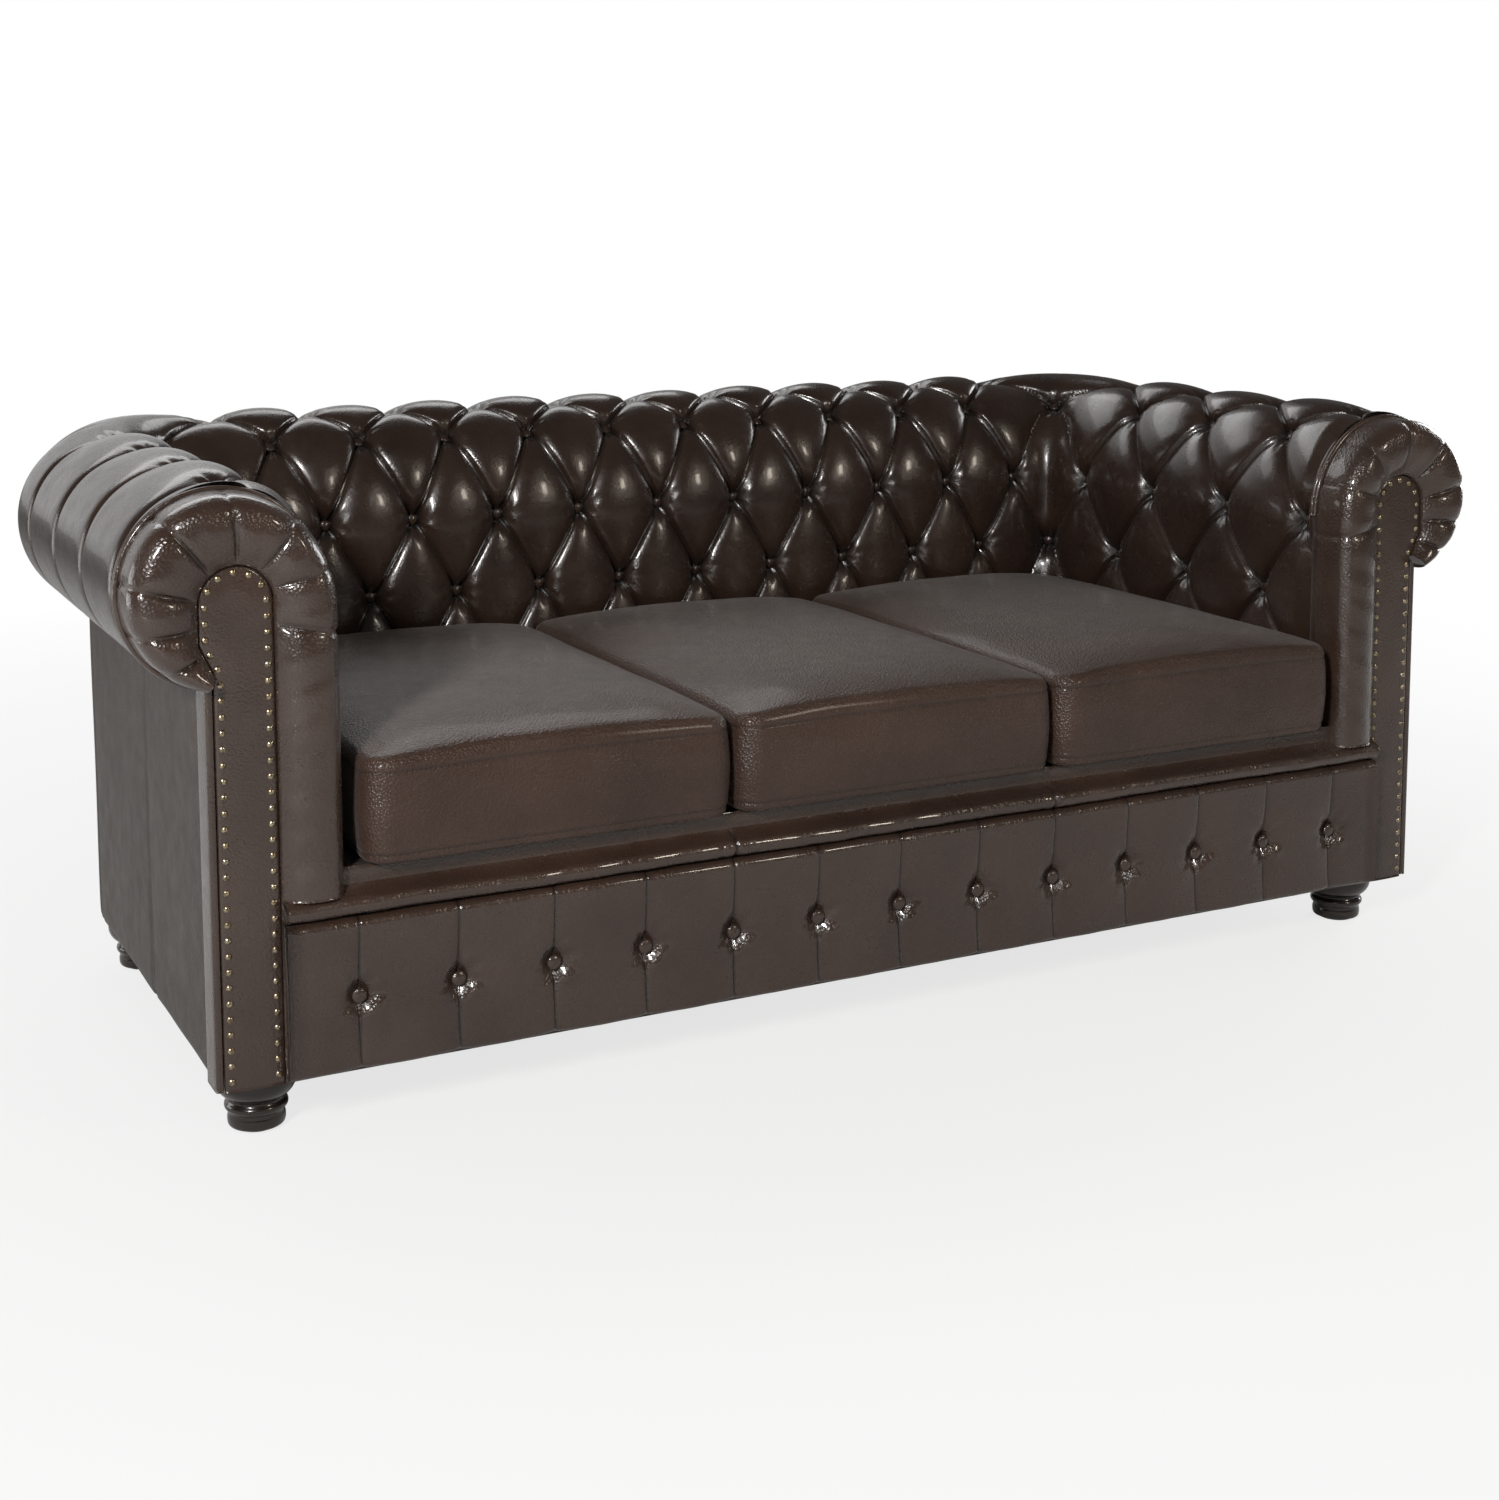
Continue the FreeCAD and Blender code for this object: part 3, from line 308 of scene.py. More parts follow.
# The roll's section as a dense line: straight face, quarter ellipse, then the round outer roll.
# With it go its outward directions and the length up to each point
def rollLine():
    inset, turn, level, radius = roll["faceInset"], roll["turnHeight"], roll["axisHeight"], roll["radius"]
    rise = level + radius - turn
    heights = np.linspace(roll["startHeight"], turn, 300)
    angles = np.radians(np.linspace(180, 90, 400))[1:]
    outer = np.radians(np.linspace(90, roll["endAngle"], 500))[1:]
    n = np.concatenate([np.full(len(heights), -inset), inset * np.cos(angles), radius * np.cos(outer)])
    z = np.concatenate([heights, turn + rise * np.sin(angles), level + radius * np.sin(outer)])
    outN = np.concatenate([np.full(len(heights), -1.0), np.cos(angles) / inset, np.cos(outer)])
    outZ = np.concatenate([np.zeros(len(heights)), np.sin(angles) / rise, np.sin(outer)])
    size = np.hypot(outN, outZ)
    length = np.concatenate([[0], np.cumsum(np.hypot(np.diff(n), np.diff(z)))])
    return (n, z, outN / size, outZ / size), length


lines, lineLength = rollLine()


# Lengths at which rows 1 to 5 cross the roll's line: the line's point nearest to each row's place,
# two on the straight face and three on the ellipse. Row 5 is the crest
def rowPlaces():
    inset, turn = roll["faceInset"], roll["turnHeight"]
    rise = roll["axisHeight"] + roll["radius"] - turn
    spots = [(-inset, height) for height in tufting["rowHeights"][:2]]
    middle = math.pi - math.asin((tufting["rowHeights"][2] - turn) / rise)
    for angle in (middle, math.radians(tufting["highRowAngle"]), math.radians(tufting["crestRowAngle"])):
        spots.append((inset * math.cos(angle), turn + rise * math.sin(angle)))
    return [lineLength[np.argmin(np.hypot(lines[0] - n, lines[1] - z))] for n, z in spots]


rowLengths = np.array(rowPlaces())
startRow = 1 - rowLengths[0] / rowPitch
endRow = crestRow + (lineLength[-1] - rowLengths[-1]) / rowPitch


# Length along the line at a row number: straight between the known rows
def lengthOfRow(row):
    known = np.concatenate([[startRow], np.arange(1, crestRow + 1), [endRow]])
    return np.interp(row, known, np.concatenate([[0], rowLengths, [lineLength[-1]]]))


# Pillow across one fold to the next: steep where it leaves the fold, softer where it ends
def pillow(t):
    return (1 - (1 - t) ** 5) ** 0.55 * (1 - t ** 4) ** 0.75


bulgeTable = seeded.uniform(0.86, 1.10, (64, 64))
phaseTable = seeded.uniform(0, 6.28, (64, 64))


# One table's value at whole numbers, repeated past its edges
def fromTable(table, p, q):
    return table[p.astype(int) % len(table), q.astype(int) % len(table)]


# Height of the buttoned leather over its base by column and row number. Buttons lie where column
# plus row is even. Folds run between them, and past the crest row straight pleats go over the roll
def tuftHeight(column, row, spacing, pleatColumn):
    look = tufting
    rowIn = np.minimum(row, crestRow)
    p, q = (column + rowIn) / 2, (rowIn - column) / 2
    swell = np.clip(pillow(p - np.floor(p)) * pillow(q - np.floor(q)), 0, 1) ** 0.62 / 0.93
    nearP, nearQ = np.round(p), np.round(q)
    across = ((p - nearP) - (q - nearQ)) * spacing
    along = ((p - nearP) + (q - nearQ)) * rowPitch + (row - rowIn) * rowPitch
    far = np.hypot(across, along)
    base = -look["fold"] - (look["pit"] - look["fold"]) * np.exp(-(far / look["pitWidth"]) ** 2)
    puff = look["puff"] * fromTable(bulgeTable, np.floor(p), np.floor(q))
    height = base + (puff - base) * np.clip(swell, 0, 1)
    ring = np.exp(-((far - look["wrinkleReach"]) / look["wrinkleWidth"]) ** 2)
    phase = fromTable(phaseTable, nearP, nearQ)
    height += look["wrinkle"] * ring * np.sin(look["wrinkles"] * np.arctan2(along, across) + phase)

    # Past the crest: smooth change from tufts to pleats, which grow shallow towards the roll's end
    fade = np.clip((row - crestRow) / look["outerFade"], 0, 1)
    fade = fade * fade * (3 - 2 * fade)
    t = (pleatColumn - 1) / 2
    t = t - np.floor(t)
    edge = np.minimum(t, 1 - t) * 2
    strength = 1 - 0.45 * np.clip((row - crestRow - 1) / 2, 0, 1)
    valley = np.exp(-edge / look["outerPleatWidth"]) * strength
    pleats = look["outerPuff"] - (look["outerPuff"] + look["outerPleat"]) * valley
    height = height * (1 - fade) + pleats * fade
    return height * (1 - np.clip((row - (endRow - look["endFade"])) / look["endFade"], 0, 1))


# Columns round the corner: the straight part and half the corner fan share one button interval
def columnAt(station, spacing, reach):
    straight = spacing - roll["cornerRound"]
    fan = reach * math.pi / 4
    share = fan / (fan + straight)
    within = np.where(station <= 1, share * station, share + (1 - share) * (station - 1))
    return np.where(station <= 2, within, station - 1)


# Pleats over the outer roll follow the columns, with two more between each first column and the
# corner's middle, shared out by the length that the roll has there
def pleatAt(station, spacing):
    fan = (roll["cornerRound"] + 2 * roll["faceInset"]) * math.pi / 4
    straight = spacing - roll["cornerRound"]
    length = fan * np.clip(station, 0, 1) + straight * np.clip(station - 1, 0, 1)
    return np.where(station <= 2, 4 * length / (fan + straight) - 3, station - 1)


# Stations count from the corner's middle: 0 to 1 is half the fan, 1 to 2 the rest of the first
# interval, and from 2 on one station is one interval
rowGrid = np.arange(math.ceil(startRow * cells), math.floor(endRow * cells) + 1) / cells
rowGrid = np.concatenate([[startRow], rowGrid, [endRow]])
baseN, baseZ, outN, outZ = (np.interp(lengthOfRow(rowGrid), lineLength, line) for line in lines)
reachGrid = roll["cornerRound"] + roll["faceInset"] + baseN
fanSteps, joinSteps = tufting["fanSteps"], tufting["joinSteps"]
cornerStations = np.concatenate([np.arange(fanSteps) / fanSteps, 1 + np.arange(joinSteps) / joinSteps])
armEnd = 1 + (cornerY - roll["armFront"]) / tufting["armSpacing"]
armIntervals = np.arange(2 * cells, int(armEnd * cells) + 1) / cells
armStations = np.concatenate([cornerStations, armIntervals, [armEnd]])
backLast = (tufting["backColumns"] + 1) * cells
backStations = np.concatenate([cornerStations, np.arange(2 * cells, backLast + 1) / cells])


# Puts section points (n, z) at the stations: the straight run lies off the corner, the fan turns
# about the corner's centre, on the arm's side or on the back's
def placedOnPath(stations, spacing, onArm, n, z):
    s = stations[:, None]
    around = roll["cornerRound"]
    straightRun = np.where(s <= 2, (s - 1) * (spacing - around), spacing * (s - 1) - around)
    distance = np.clip(straightRun, 0, None)
    angle = np.clip(s, 0, 1) * math.pi / 4
    reach = np.maximum(around + roll["faceInset"] + n, 1.0)
    turned = math.pi / 4 - angle if onArm else math.pi / 4 + angle
    x = cornerX - around + reach * np.cos(turned) - (0 if onArm else distance)
    y = cornerY - around + reach * np.sin(turned) - (distance if onArm else 0)
    return np.stack([x, y, z + 0 * x], -1)


# The base line moved out by the leather's height at each station and row, flatter at the arm's
# front. Dark is painted shade, which grows with the depth under the base
def sheetPoints(stations, spacing, onArm):
    s = stations[:, None]
    row = rowGrid[None, :] + 0 * s
    height = tuftHeight(columnAt(s, spacing, reachGrid), row, spacing, pleatAt(s, spacing))
    if onArm:
        front = np.clip((s - tufting["frontStation"]) / tufting["frontFade"], 0, 1)
        height = height * (1 - tufting["frontFlat"] * front)
    places = placedOnPath(stations, spacing, onArm, baseN + outN * height, baseZ + outZ * height)
    return places, np.clip((tufting["paintedShadeBelow"] - height) / tufting["paintedShadeDepth"], 0, 1) ** 1.3


# The hidden back of each section closes the tube inside the frame
def hiddenPoints(stations, spacing, onArm):
    inner, depth, top = roll["hiddenInner"], roll["hiddenDepth"], roll["hiddenTop"]
    n = np.array([[inner, inner, depth, depth]])
    z = np.array([[roll["hiddenTurn"], top, top, roll["startHeight"]]])
    return placedOnPath(stations, spacing, onArm, n, z)


# Normals of the whole sheet from neighbouring points, so that its pieces meet without a line
def gridNormals(grid):
    normal = np.cross(np.gradient(grid, axis=0), np.gradient(grid, axis=1))
    return normal / np.maximum(np.linalg.norm(normal, axis=-1, keepdims=True), 1e-9)


# Which diagonal a cell is cut along: the one that follows the nearer of its two folds
def foldLeans(columns, rows):
    middle = (columns[:-1, :-1] + columns[1:, 1:]) / 2
    row = (rows[:-1] + rows[1:])[None, :] / 2
    p, q = (middle + row) / 2, (row - middle) / 2
    return np.abs(p - np.round(p)) < np.abs(q - np.round(q))


# The arm's stations from the front to the corner, then the back's up to the sofa's middle
def joinRuns(arm, back):
    return np.concatenate([arm[::-1], back[1:]])


# The right half, then its mirror image from the sofa's middle to the other arm's front
def bothHalves(half, mirrored):
    return np.concatenate([half, mirrored[-2::-1]])


# The whole sheet: points, hidden back, normals, diagonals and painted shade by station, and where it is cut
def buildSheet():
    runs = [(armStations, tufting["armSpacing"], True), (backStations, backSpacing, False)]
    half, halfPaintedShade = (joinRuns(*pair) for pair in zip(*(sheetPoints(*run) for run in runs)))
    halfHidden = joinRuns(*(hiddenPoints(*run) for run in runs))
    armColumns, backColumns = (columnAt(run[0][:, None], run[1], reachGrid) for run in runs)
    halfColumns = joinRuns(-armColumns, backColumns)
    mirror = np.array([-1.0, 1.0, 1.0])
    whole = bothHalves(half, half * mirror)
    columns = bothHalves(halfColumns, 2 * tufting["backColumns"] - halfColumns)
    normals = gridNormals(whole)
    if normals[0, 5, 0] > 0:  # the right arm's face looks to the left
        normals = -normals
    corner, last = len(armStations) - 1, len(whole) - 1
    cuts = [0, corner - fanSteps, corner + fanSteps]
    cuts += [last - cut for cut in cuts[::-1]]
    hidden, dark = bothHalves(halfHidden, halfHidden * mirror), bothHalves(halfPaintedShade, halfPaintedShade)
    return whole, hidden, normals, foldLeans(columns, rowGrid), dark, cuts


# One stretch of the sheet as a closed tube, with the whole sheet's normals on its face
def sheetPiece(name, first, last, node):
    grid = np.concatenate([sheetGrid[first:last + 1], sheetHidden[first:last + 1]], axis=1)
    leans = np.zeros((last - first, grid.shape[1]), bool)
    leans[:, :sheetLeans.shape[1]] = sheetLeans[first:last]
    piece = tubePiece(name, grid, "buttonedLeather", leans, sheetPaintedShade[first:last + 1])
    wanted = np.zeros(grid.shape)
    wanted[:, :sheetNormals.shape[1]] = sheetNormals[first:last + 1]
    piece.data.normals_split_custom_set_from_vertices(wanted.reshape(-1, 3).tolist())
    assign(piece, "sofa", node)


sheetGrid, sheetHidden, sheetNormals, sheetLeans, sheetPaintedShade, sheetCuts = buildSheet()
sheetNodes = {"armUpholsteryRight": "arm_pad_right", "cornerUpholsteryRight": "corner_pad_right",
              "backUpholstery": "back_pad", "cornerUpholsteryLeft": "corner_pad_left",
              "armUpholsteryLeft": "arm_pad_left"}
for (name, node), first, last in zip(sheetNodes.items(), sheetCuts[:-1], sheetCuts[1:]):
    sheetPiece(name, first, last, node)
print("buttoned sheet:", sheetGrid.shape)


# Buttons: a low dome with a pressed rim, turned to face along a normal

buttonLook = {"radius": 8.0, "height": 5.0, "seat": -17.5, "around": 16, "rings": 5}


# Dome points: rings of radius R sin(t) at height H (0.35 + 0.65 cos(t)), then a rim curling under
def domeGrid(radius, height, around, rings):
    t = np.linspace(0.02, math.pi / 2, rings)
    ringRadius = np.concatenate([radius * np.sin(t), [radius * 0.97, radius * 0.6]])[:, None]
    ringHeight = np.concatenate([height * (0.35 + 0.65 * np.cos(t)), [height * 0.12, 0.0]])[:, None]
    turn = np.linspace(0, 2 * math.pi, around, endpoint=False)
    x = ringRadius * np.cos(turn)
    return np.stack([x, ringRadius * np.sin(turn), ringHeight + 0 * x], -1)


# Copies of one closed form set on many centres, each turned to its own normal, as one mesh
def copiesPiece(name, form, centres, normals, material):
    normals = normals / np.linalg.norm(normals, axis=1, keepdims=True)
    helper = np.where(np.abs(normals[:, 2:3]) > 0.9, np.array([[1.0, 0, 0]]), np.array([[0, 0, 1.0]]))
    side = np.cross(helper, normals)
    side /= np.linalg.norm(side, axis=1, keepdims=True)
    axes = np.stack([side, np.cross(normals, side), normals], axis=1)
    flat = form.reshape(-1, 3)
    points = centres[:, None, :] + flat @ axes
    rings, around = form.shape[:2]
    i, j = np.meshgrid(np.arange(rings - 1), np.arange(around), indexing="ij")
    here, following = i * around + j, i * around + (j + 1) % around
    quads = np.stack([here, here + around, following + around, following], -1).reshape(-1, 4)
    top = np.arange(around)[None, ::-1]
    bottom = np.arange(around)[None, :] + (rings - 1) * around
    if signedVolume(flat, np.concatenate([quads[:, [0, 1, 2]], quads[:, [0, 2, 3]]])) < 0:
        quads, top, bottom = (group[:, ::-1] for group in (quads, top, bottom))
    shift = (np.arange(len(centres)) * rings * around)[:, None, None]
    faces = []
    for kind in (quads, top, bottom):
        faces += (kind[None] + shift).reshape(-1, kind.shape[1]).tolist()
    return finishPiece(name, (points.reshape(-1, 3) * toMetres).tolist(), faces, material)


# Button centres come from the sheet's own base line at the row and column where a pit lies, and
# the normal is the step from there to a point further out
def buttonSpots(onArm, spacing, lastColumn, sideSign):
    centres, normals = [], []
    depths = np.array([[buttonLook["seat"], buttonLook["seat"] + 5]])
    for column in range(0 if onArm else 1, lastColumn + 1):
        for row in ((2, 4) if column % 2 == 0 else (3, 5)):
            n, z, alongN, alongZ = (float(np.interp(lengthOfRow(row), lineLength, line)) for line in lines)
            station = np.array([0.0 if column == 0 else column + 1.0])
            pair = placedOnPath(station, spacing, onArm, n + alongN * depths, z + alongZ * depths)[0]
            centres.append(pair[0] * (sideSign, 1, 1))
            normals.append((pair[1] - pair[0]) * (sideSign, 1, 1))
    return centres, normals


# One mesh of buttons for the back and one for each arm. The back's middle column is placed once
def placeButtons():
    form = domeGrid(buttonLook["radius"], buttonLook["height"], buttonLook["around"], buttonLook["rings"])
    columns = tufting["backColumns"]
    right = buttonSpots(False, backSpacing, columns, 1)
    left = buttonSpots(False, backSpacing, columns - 1, -1)
    groups = [("backButtons", "back_buttons", right[0] + left[0], right[1] + left[1])]
    for sideSign, side in sides:
        spots = buttonSpots(True, tufting["armSpacing"], tufting["armColumns"], sideSign)
        groups.append(("armButtons" + side.capitalize(), "arm_buttons_" + side, *spots))
    for name, node, centres, normals in groups:
        piece = copiesPiece(name, form, np.array(centres), np.array(normals), "buttonedLeather")
        assign(piece, "sofa", node)


placeButtons()
print("buttons placed")


# Pleated scroll borders: carried round the arm's front from under the roll to the seat lip

border = {
    "scrollX": 865.0, "scrollZ": 645.0, "scrollRadius": 110.0,
    "headX": 856.0, "headZ": 634.0, "headRadius": 43.8, "firstAngle": -75.0,
    "neckZ": 556.0, "foldZ": 590.0, "stripOuter": 883.3, "stripInner": 812.7, "innerX": 740.0,
    "turnZ": 620.0, "legBottom": 287.6, "front": -450.0, "back": -405.4, "sideSteps": (18.0, 32.0),
    "bulge": 21.0, "swell": 2.6, "swellWidth": 13.0, "edgeRound": 17.0, "lap": 6.0,
    "pleatDepth": 6.375, "pleatWidth": 3.2, "paintedShadeWidth": 2.6, "ripple": 0.7,
    "pleatAngles": (-50.0, -22.0, 8.0, 50.0, 92.0, 130.0, 160.0), "legPleats": (598.0,),
    "pleatStrength": (1.0, 1.0, 1.0, 1.0, 0.8, 0.5, 0.45, 0.8),
    "pipingOut": 3.5, "pipingRadius": 3.4, "pipingPlaces": (-409.0, -402.5), "pipingStart": -72.0,
}


# Outer edge (x, z) at each angle: a circle up to the top, then a quarter ellipse down to the leg
def outerRoute(angle, further=0.0):
    early = angle <= math.pi / 2
    radius = border["scrollRadius"] + further
    wide = border["scrollX"] - border["innerX"] + further
    tall = border["scrollZ"] + border["scrollRadius"] - border["turnZ"] + further
    x = border["scrollX"] + np.where(early, radius, wide) * np.cos(angle)
    z = np.where(early, border["scrollZ"] + radius * np.sin(angle), border["turnZ"] + tall * np.sin(angle))
    return x, z


# Route of the border: inner and outer places (x, z) by angle, then by height down the leg, with the
# length of the run between them and where on it the pleats lie
def borderRoute():
    turned = np.arange(border["firstAngle"], 180.01, 1.25)
    angle = np.radians(turned)
    outerX, outerZ = outerRoute(angle)
    headX, headZ, radius = border["headX"], border["headZ"], border["headRadius"]
    share = np.clip(turned / border["firstAngle"], 0, 1)
    underX = np.interp(share, [0, 0.5, 1], [headX + radius, headX + radius, border["stripOuter"]])
    underZ = np.interp(share, [0, 0.5, 1], [headZ, border["foldZ"], border["neckZ"]])
    innerX = np.where(turned >= 0, headX + radius * np.cos(angle), underX)
    innerZ = np.where(turned >= 0, headZ + radius * np.sin(angle), underZ)
    down = np.linspace(0, 1, 90)[1:]
    legInnerZ = headZ + (border["legBottom"] - headZ) * down
    legOuterZ = border["turnZ"] + (border["legBottom"] - border["turnZ"]) * down
    inner = np.stack([np.concatenate([innerX, border["stripInner"] + 0 * down]),
                      np.concatenate([innerZ, legInnerZ])], -1)
    outer = np.stack([np.concatenate([outerX, border["innerX"] + 0 * down]),
                      np.concatenate([outerZ, legOuterZ])], -1)
    middle = (inner + outer * 2) / 3
    run = np.concatenate([[0], np.cumsum(np.hypot(*np.diff(middle, axis=0).T))])
    turns = len(turned)
    pleats = [np.interp(place, turned, run[:turns]) for place in border["pleatAngles"]]
    pleats += [np.interp(-z, -middle[turns:, 1], run[turns:]) for z in border["legPleats"]]
    return inner, outer, run[:, None], np.array(pleats)


# Section: bulges forward from the facing's edge, rounds over at the outside and runs back to the
# arm pad. A pleat is a sharp valley across it, and the leather swells between pleats
def borderGrid(sideSign):
    inner, outer, run, pleats = borderRoute()
    front, back = border["front"], border["back"]
    gaps = np.abs(run - pleats)
    nearest = gaps.min(axis=1, keepdims=True)
    strength = np.array(border["pleatStrength"])[gaps.argmin(axis=1)][:, None]
    sharp = np.exp(-nearest / border["pleatWidth"]) * strength
    swell = border["swell"] * (1 - np.exp(-nearest / border["swellWidth"]))
    t = np.linspace(0, 1, 34)
    fading = 1 - 0.75 * np.clip((t - 0.45) / 0.4, 0, 1) ** 2
    inFold = np.clip(t * 5, 0, 1)
    across = outer - inner
    width = np.hypot(*across.T)[:, None]
    edge = np.clip(border["edgeRound"] / width, 0.05, 0.4)
    rounding = np.clip((t - (1 - edge)) / edge, 0, 1)
    depth = border["bulge"] * np.sin(math.pi * (0.04 + 0.80 * t)) ** 0.75
    depth = depth - border["edgeRound"] * (1 - np.sqrt(np.clip(1 - rounding ** 2, 0, 1)))
    depth = depth + swell * inFold * (1 - 0.5 * rounding)
    depth = depth - border["pleatDepth"] * sharp * (inFold * fading)
    ripple = border["ripple"] * np.sin(run / 9.0 + 5 * t) * np.sin(run / 23.0 + 2.0)
    depth = depth + ripple * inFold * (1 - rounding)
    pinch = (1.2 - 3.4 * sharp) * np.clip(t * 1.6 - 0.6, 0, 1)
    along = (across / width)[:, None]
    face = inner[:, None] + across[:, None] * t[:, None] + along * pinch[..., None]
    flare = np.array([0.6, 1.8, 3.0]) + 0.6 - 2.4 * sharp
    wall = outer[:, None] + along * flare[..., None]
    xz = np.concatenate([face, wall, inner[:, None], inner[:, None]], axis=1)
    behind = [*(front + np.array(border["sideSteps"])), back, back, front + border["lap"]]
    y = np.concatenate([front - depth, np.tile(behind, (len(run), 1))], axis=1)
    # Painted shade: the colour darkens along each pleat's valley, less towards the outer edge
    dark = 0.9 * strength * np.exp(-nearest / border["paintedShadeWidth"])
    dark = dark * (np.clip(t * 6, 0, 1) * (fading - 0.25) / 0.75)
    return np.stack([xz[..., 0] * sideSign, y, xz[..., 1]], -1), dark


# A round cord sewn along a line of points: circles square to the line, built all at once
def cordGrid(line, radius, around=10):
    ahead = np.gradient(line, axis=0)
    ahead /= np.linalg.norm(ahead, axis=1, keepdims=True)
    side = np.cross(ahead, [0.0, 1.0, 0.0])
    side /= np.linalg.norm(side, axis=1, keepdims=True)
    up = np.cross(side, ahead)
    turn = np.linspace(0, 2 * math.pi, around, endpoint=False)[:, None]
    return line[:, None] + radius * (np.cos(turn) * side[:, None] + np.sin(turn) * up[:, None])


# A border at each arm, with two pipings that follow its outer edge a little further out
def borderPieces():
    angle = np.radians(np.linspace(border["pipingStart"], 180, 207))
    x, z = outerRoute(angle, border["pipingOut"])
    for sideSign, side in sides:
        title = side.capitalize()
        grid, dark = borderGrid(sideSign)
        piece = tubePiece("scrollBorder" + title, grid, "borderLeather", dark=dark)
        assign(piece, "sofa", "scroll_border_" + side)
        for number, y in enumerate(border["pipingPlaces"]):
            grid = cordGrid(np.stack([x * sideSign, y + 0 * x, z], -1), border["pipingRadius"])
            cord = tubePiece("scrollPiping%s%d" % (title, number + 1), grid, "borderLeather")
            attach(cord, "sofa")


borderPieces()
print("scroll borders made")


# Facing strips: a thin board of leather with a round head and a neck under the scroll

strip = {
    "bottom": 74.0, "inner": 813.0, "outer": 883.0, "wide": 899.0, "headRadius": 43.0,
    "front": -450.4, "back": -445.2, "edge": 5.0, "edgeDepth": 3.0, "lift": 1.6, "liftWidth": 26.0,
}


# Left and right edge at each height: straight, wider at the fold, then a circle for the head. The
# face rises from a rounded edge by its distance from it, and heights lie closer towards the top
def stripGrid(sideSign):
    headX, headZ, radius = border["headX"], border["headZ"], strip["headRadius"]
    heights = np.concatenate([np.linspace(strip["bottom"], border["neckZ"], 110),
                              np.linspace(border["neckZ"], headZ, 24)[1:],
                              headZ + radius * np.sin(np.radians(np.linspace(0, 89.5, 30)))[1:]])[:, None]
    above = heights > headZ
    over = np.sqrt(np.clip(radius ** 2 - np.clip(heights - headZ, 0, None) ** 2, 0.02, None))
    outer, wide = strip["outer"], strip["wide"]
    straight = np.interp(heights, [0, border["neckZ"], border["foldZ"], headZ], [outer, outer, wide, wide])
    left = np.where(above, headX - over, strip["inner"])
    right = np.where(above, headX + over, straight)
    t = 0.5 - 0.5 * np.cos(np.linspace(0, 1, 26) * math.pi)
    x = left + (right - left) * t
    fromHead = np.where(above, radius - np.hypot(x - headX, heights - headZ), np.inf)
    distance = np.minimum(np.minimum(x - left, right - x), fromHead)
    inside = np.clip(distance / strip["edge"], 0, 1)
    y = strip["front"] + strip["edgeDepth"] * (1 - np.sqrt(np.clip(1 - (1 - inside) ** 2, 0, 1)))
    y = y - strip["lift"] * np.clip(distance / strip["liftWidth"], 0, 1) ** 0.7
    y = y - 0.25 * np.sin(heights / 21.0) * np.sin(x / 9.0)
    xs = np.concatenate([x, right, left], axis=1)
    ys = np.concatenate([y, np.full((len(heights), 2), strip["back"])], axis=1)
    return np.stack([xs * sideSign, ys, heights + 0 * xs], -1)


# The welt beside the strip: a rounded bar of leather that closes the board's outer edge
welt = {
    "bottom": 76.0, "top": 545.0, "x": 888.3, "y": -427.5, "halfWidth": 5.0, "halfDepth": 22.3,
    "power": 0.35, "slant": 1.6, "slantOver": 40.0,
}


# Section: a squared circle, half width by half depth. Its top slants up towards the sofa's middle
def weltGrid(sideSign):
    heights = np.linspace(welt["bottom"], welt["top"], 94)[:, None]
    turn = np.linspace(0, 2 * math.pi, 28, endpoint=False)
    x, y = (np.sign(part) * np.abs(part) ** welt["power"] for part in (np.cos(turn), np.sin(turn)))
    x, y = welt["x"] + welt["halfWidth"] * x, welt["y"] + welt["halfDepth"] * y
    risen = np.clip((heights - welt["top"]) / welt["slantOver"] + 1, 0, 1)
    z = heights + welt["slant"] * (welt["x"] - x) * risen
    return np.stack([x * sideSign + 0 * z, y + 0 * z, z], -1)


for sideSign, side in sides:
    stripPiece = tubePiece("facingStrip" + side.capitalize(), stripGrid(sideSign), "borderLeather")
    assign(stripPiece, "sofa", "facing_strip_" + side)
    weltPiece = tubePiece("frontWelt" + side.capitalize(), weltGrid(sideSign), "borderLeather")
    assign(weltPiece, "sofa", "front_welt_" + side)
print("facing strips made")


# Skirt: upright leather with a pleat seam through each button, swelling between the seams

skirt = {
    "half": 812.5, "low": 79.0, "high": 262.0, "front": -472.0, "back": -450.4, "pitch": 121.3,
    "buttons": 13, "buttonHeight": 168.0, "swell": 7.0, "swellWidth": 22.0, "dimple": 9.5,
    "dimpleWidth": 18.0, "groove": 2.5, "grooveWidth": 1.7, "edgeRound": 9.0, "scallop": 2.2,
    "scallopWidth": 20.0, "pucker": 3.2, "puckerAside": 16.0, "puckerBelow": 17.0, "puckerWidth": 10.0,
    "crease": 0.9, "creases": 7, "creaseReach": 24.0, "creaseWidth": 10.0, "wave": 0.5,
    "buttonRadius": 9.2, "buttonDome": 5.5, "buttonPlace": -461.8,
}


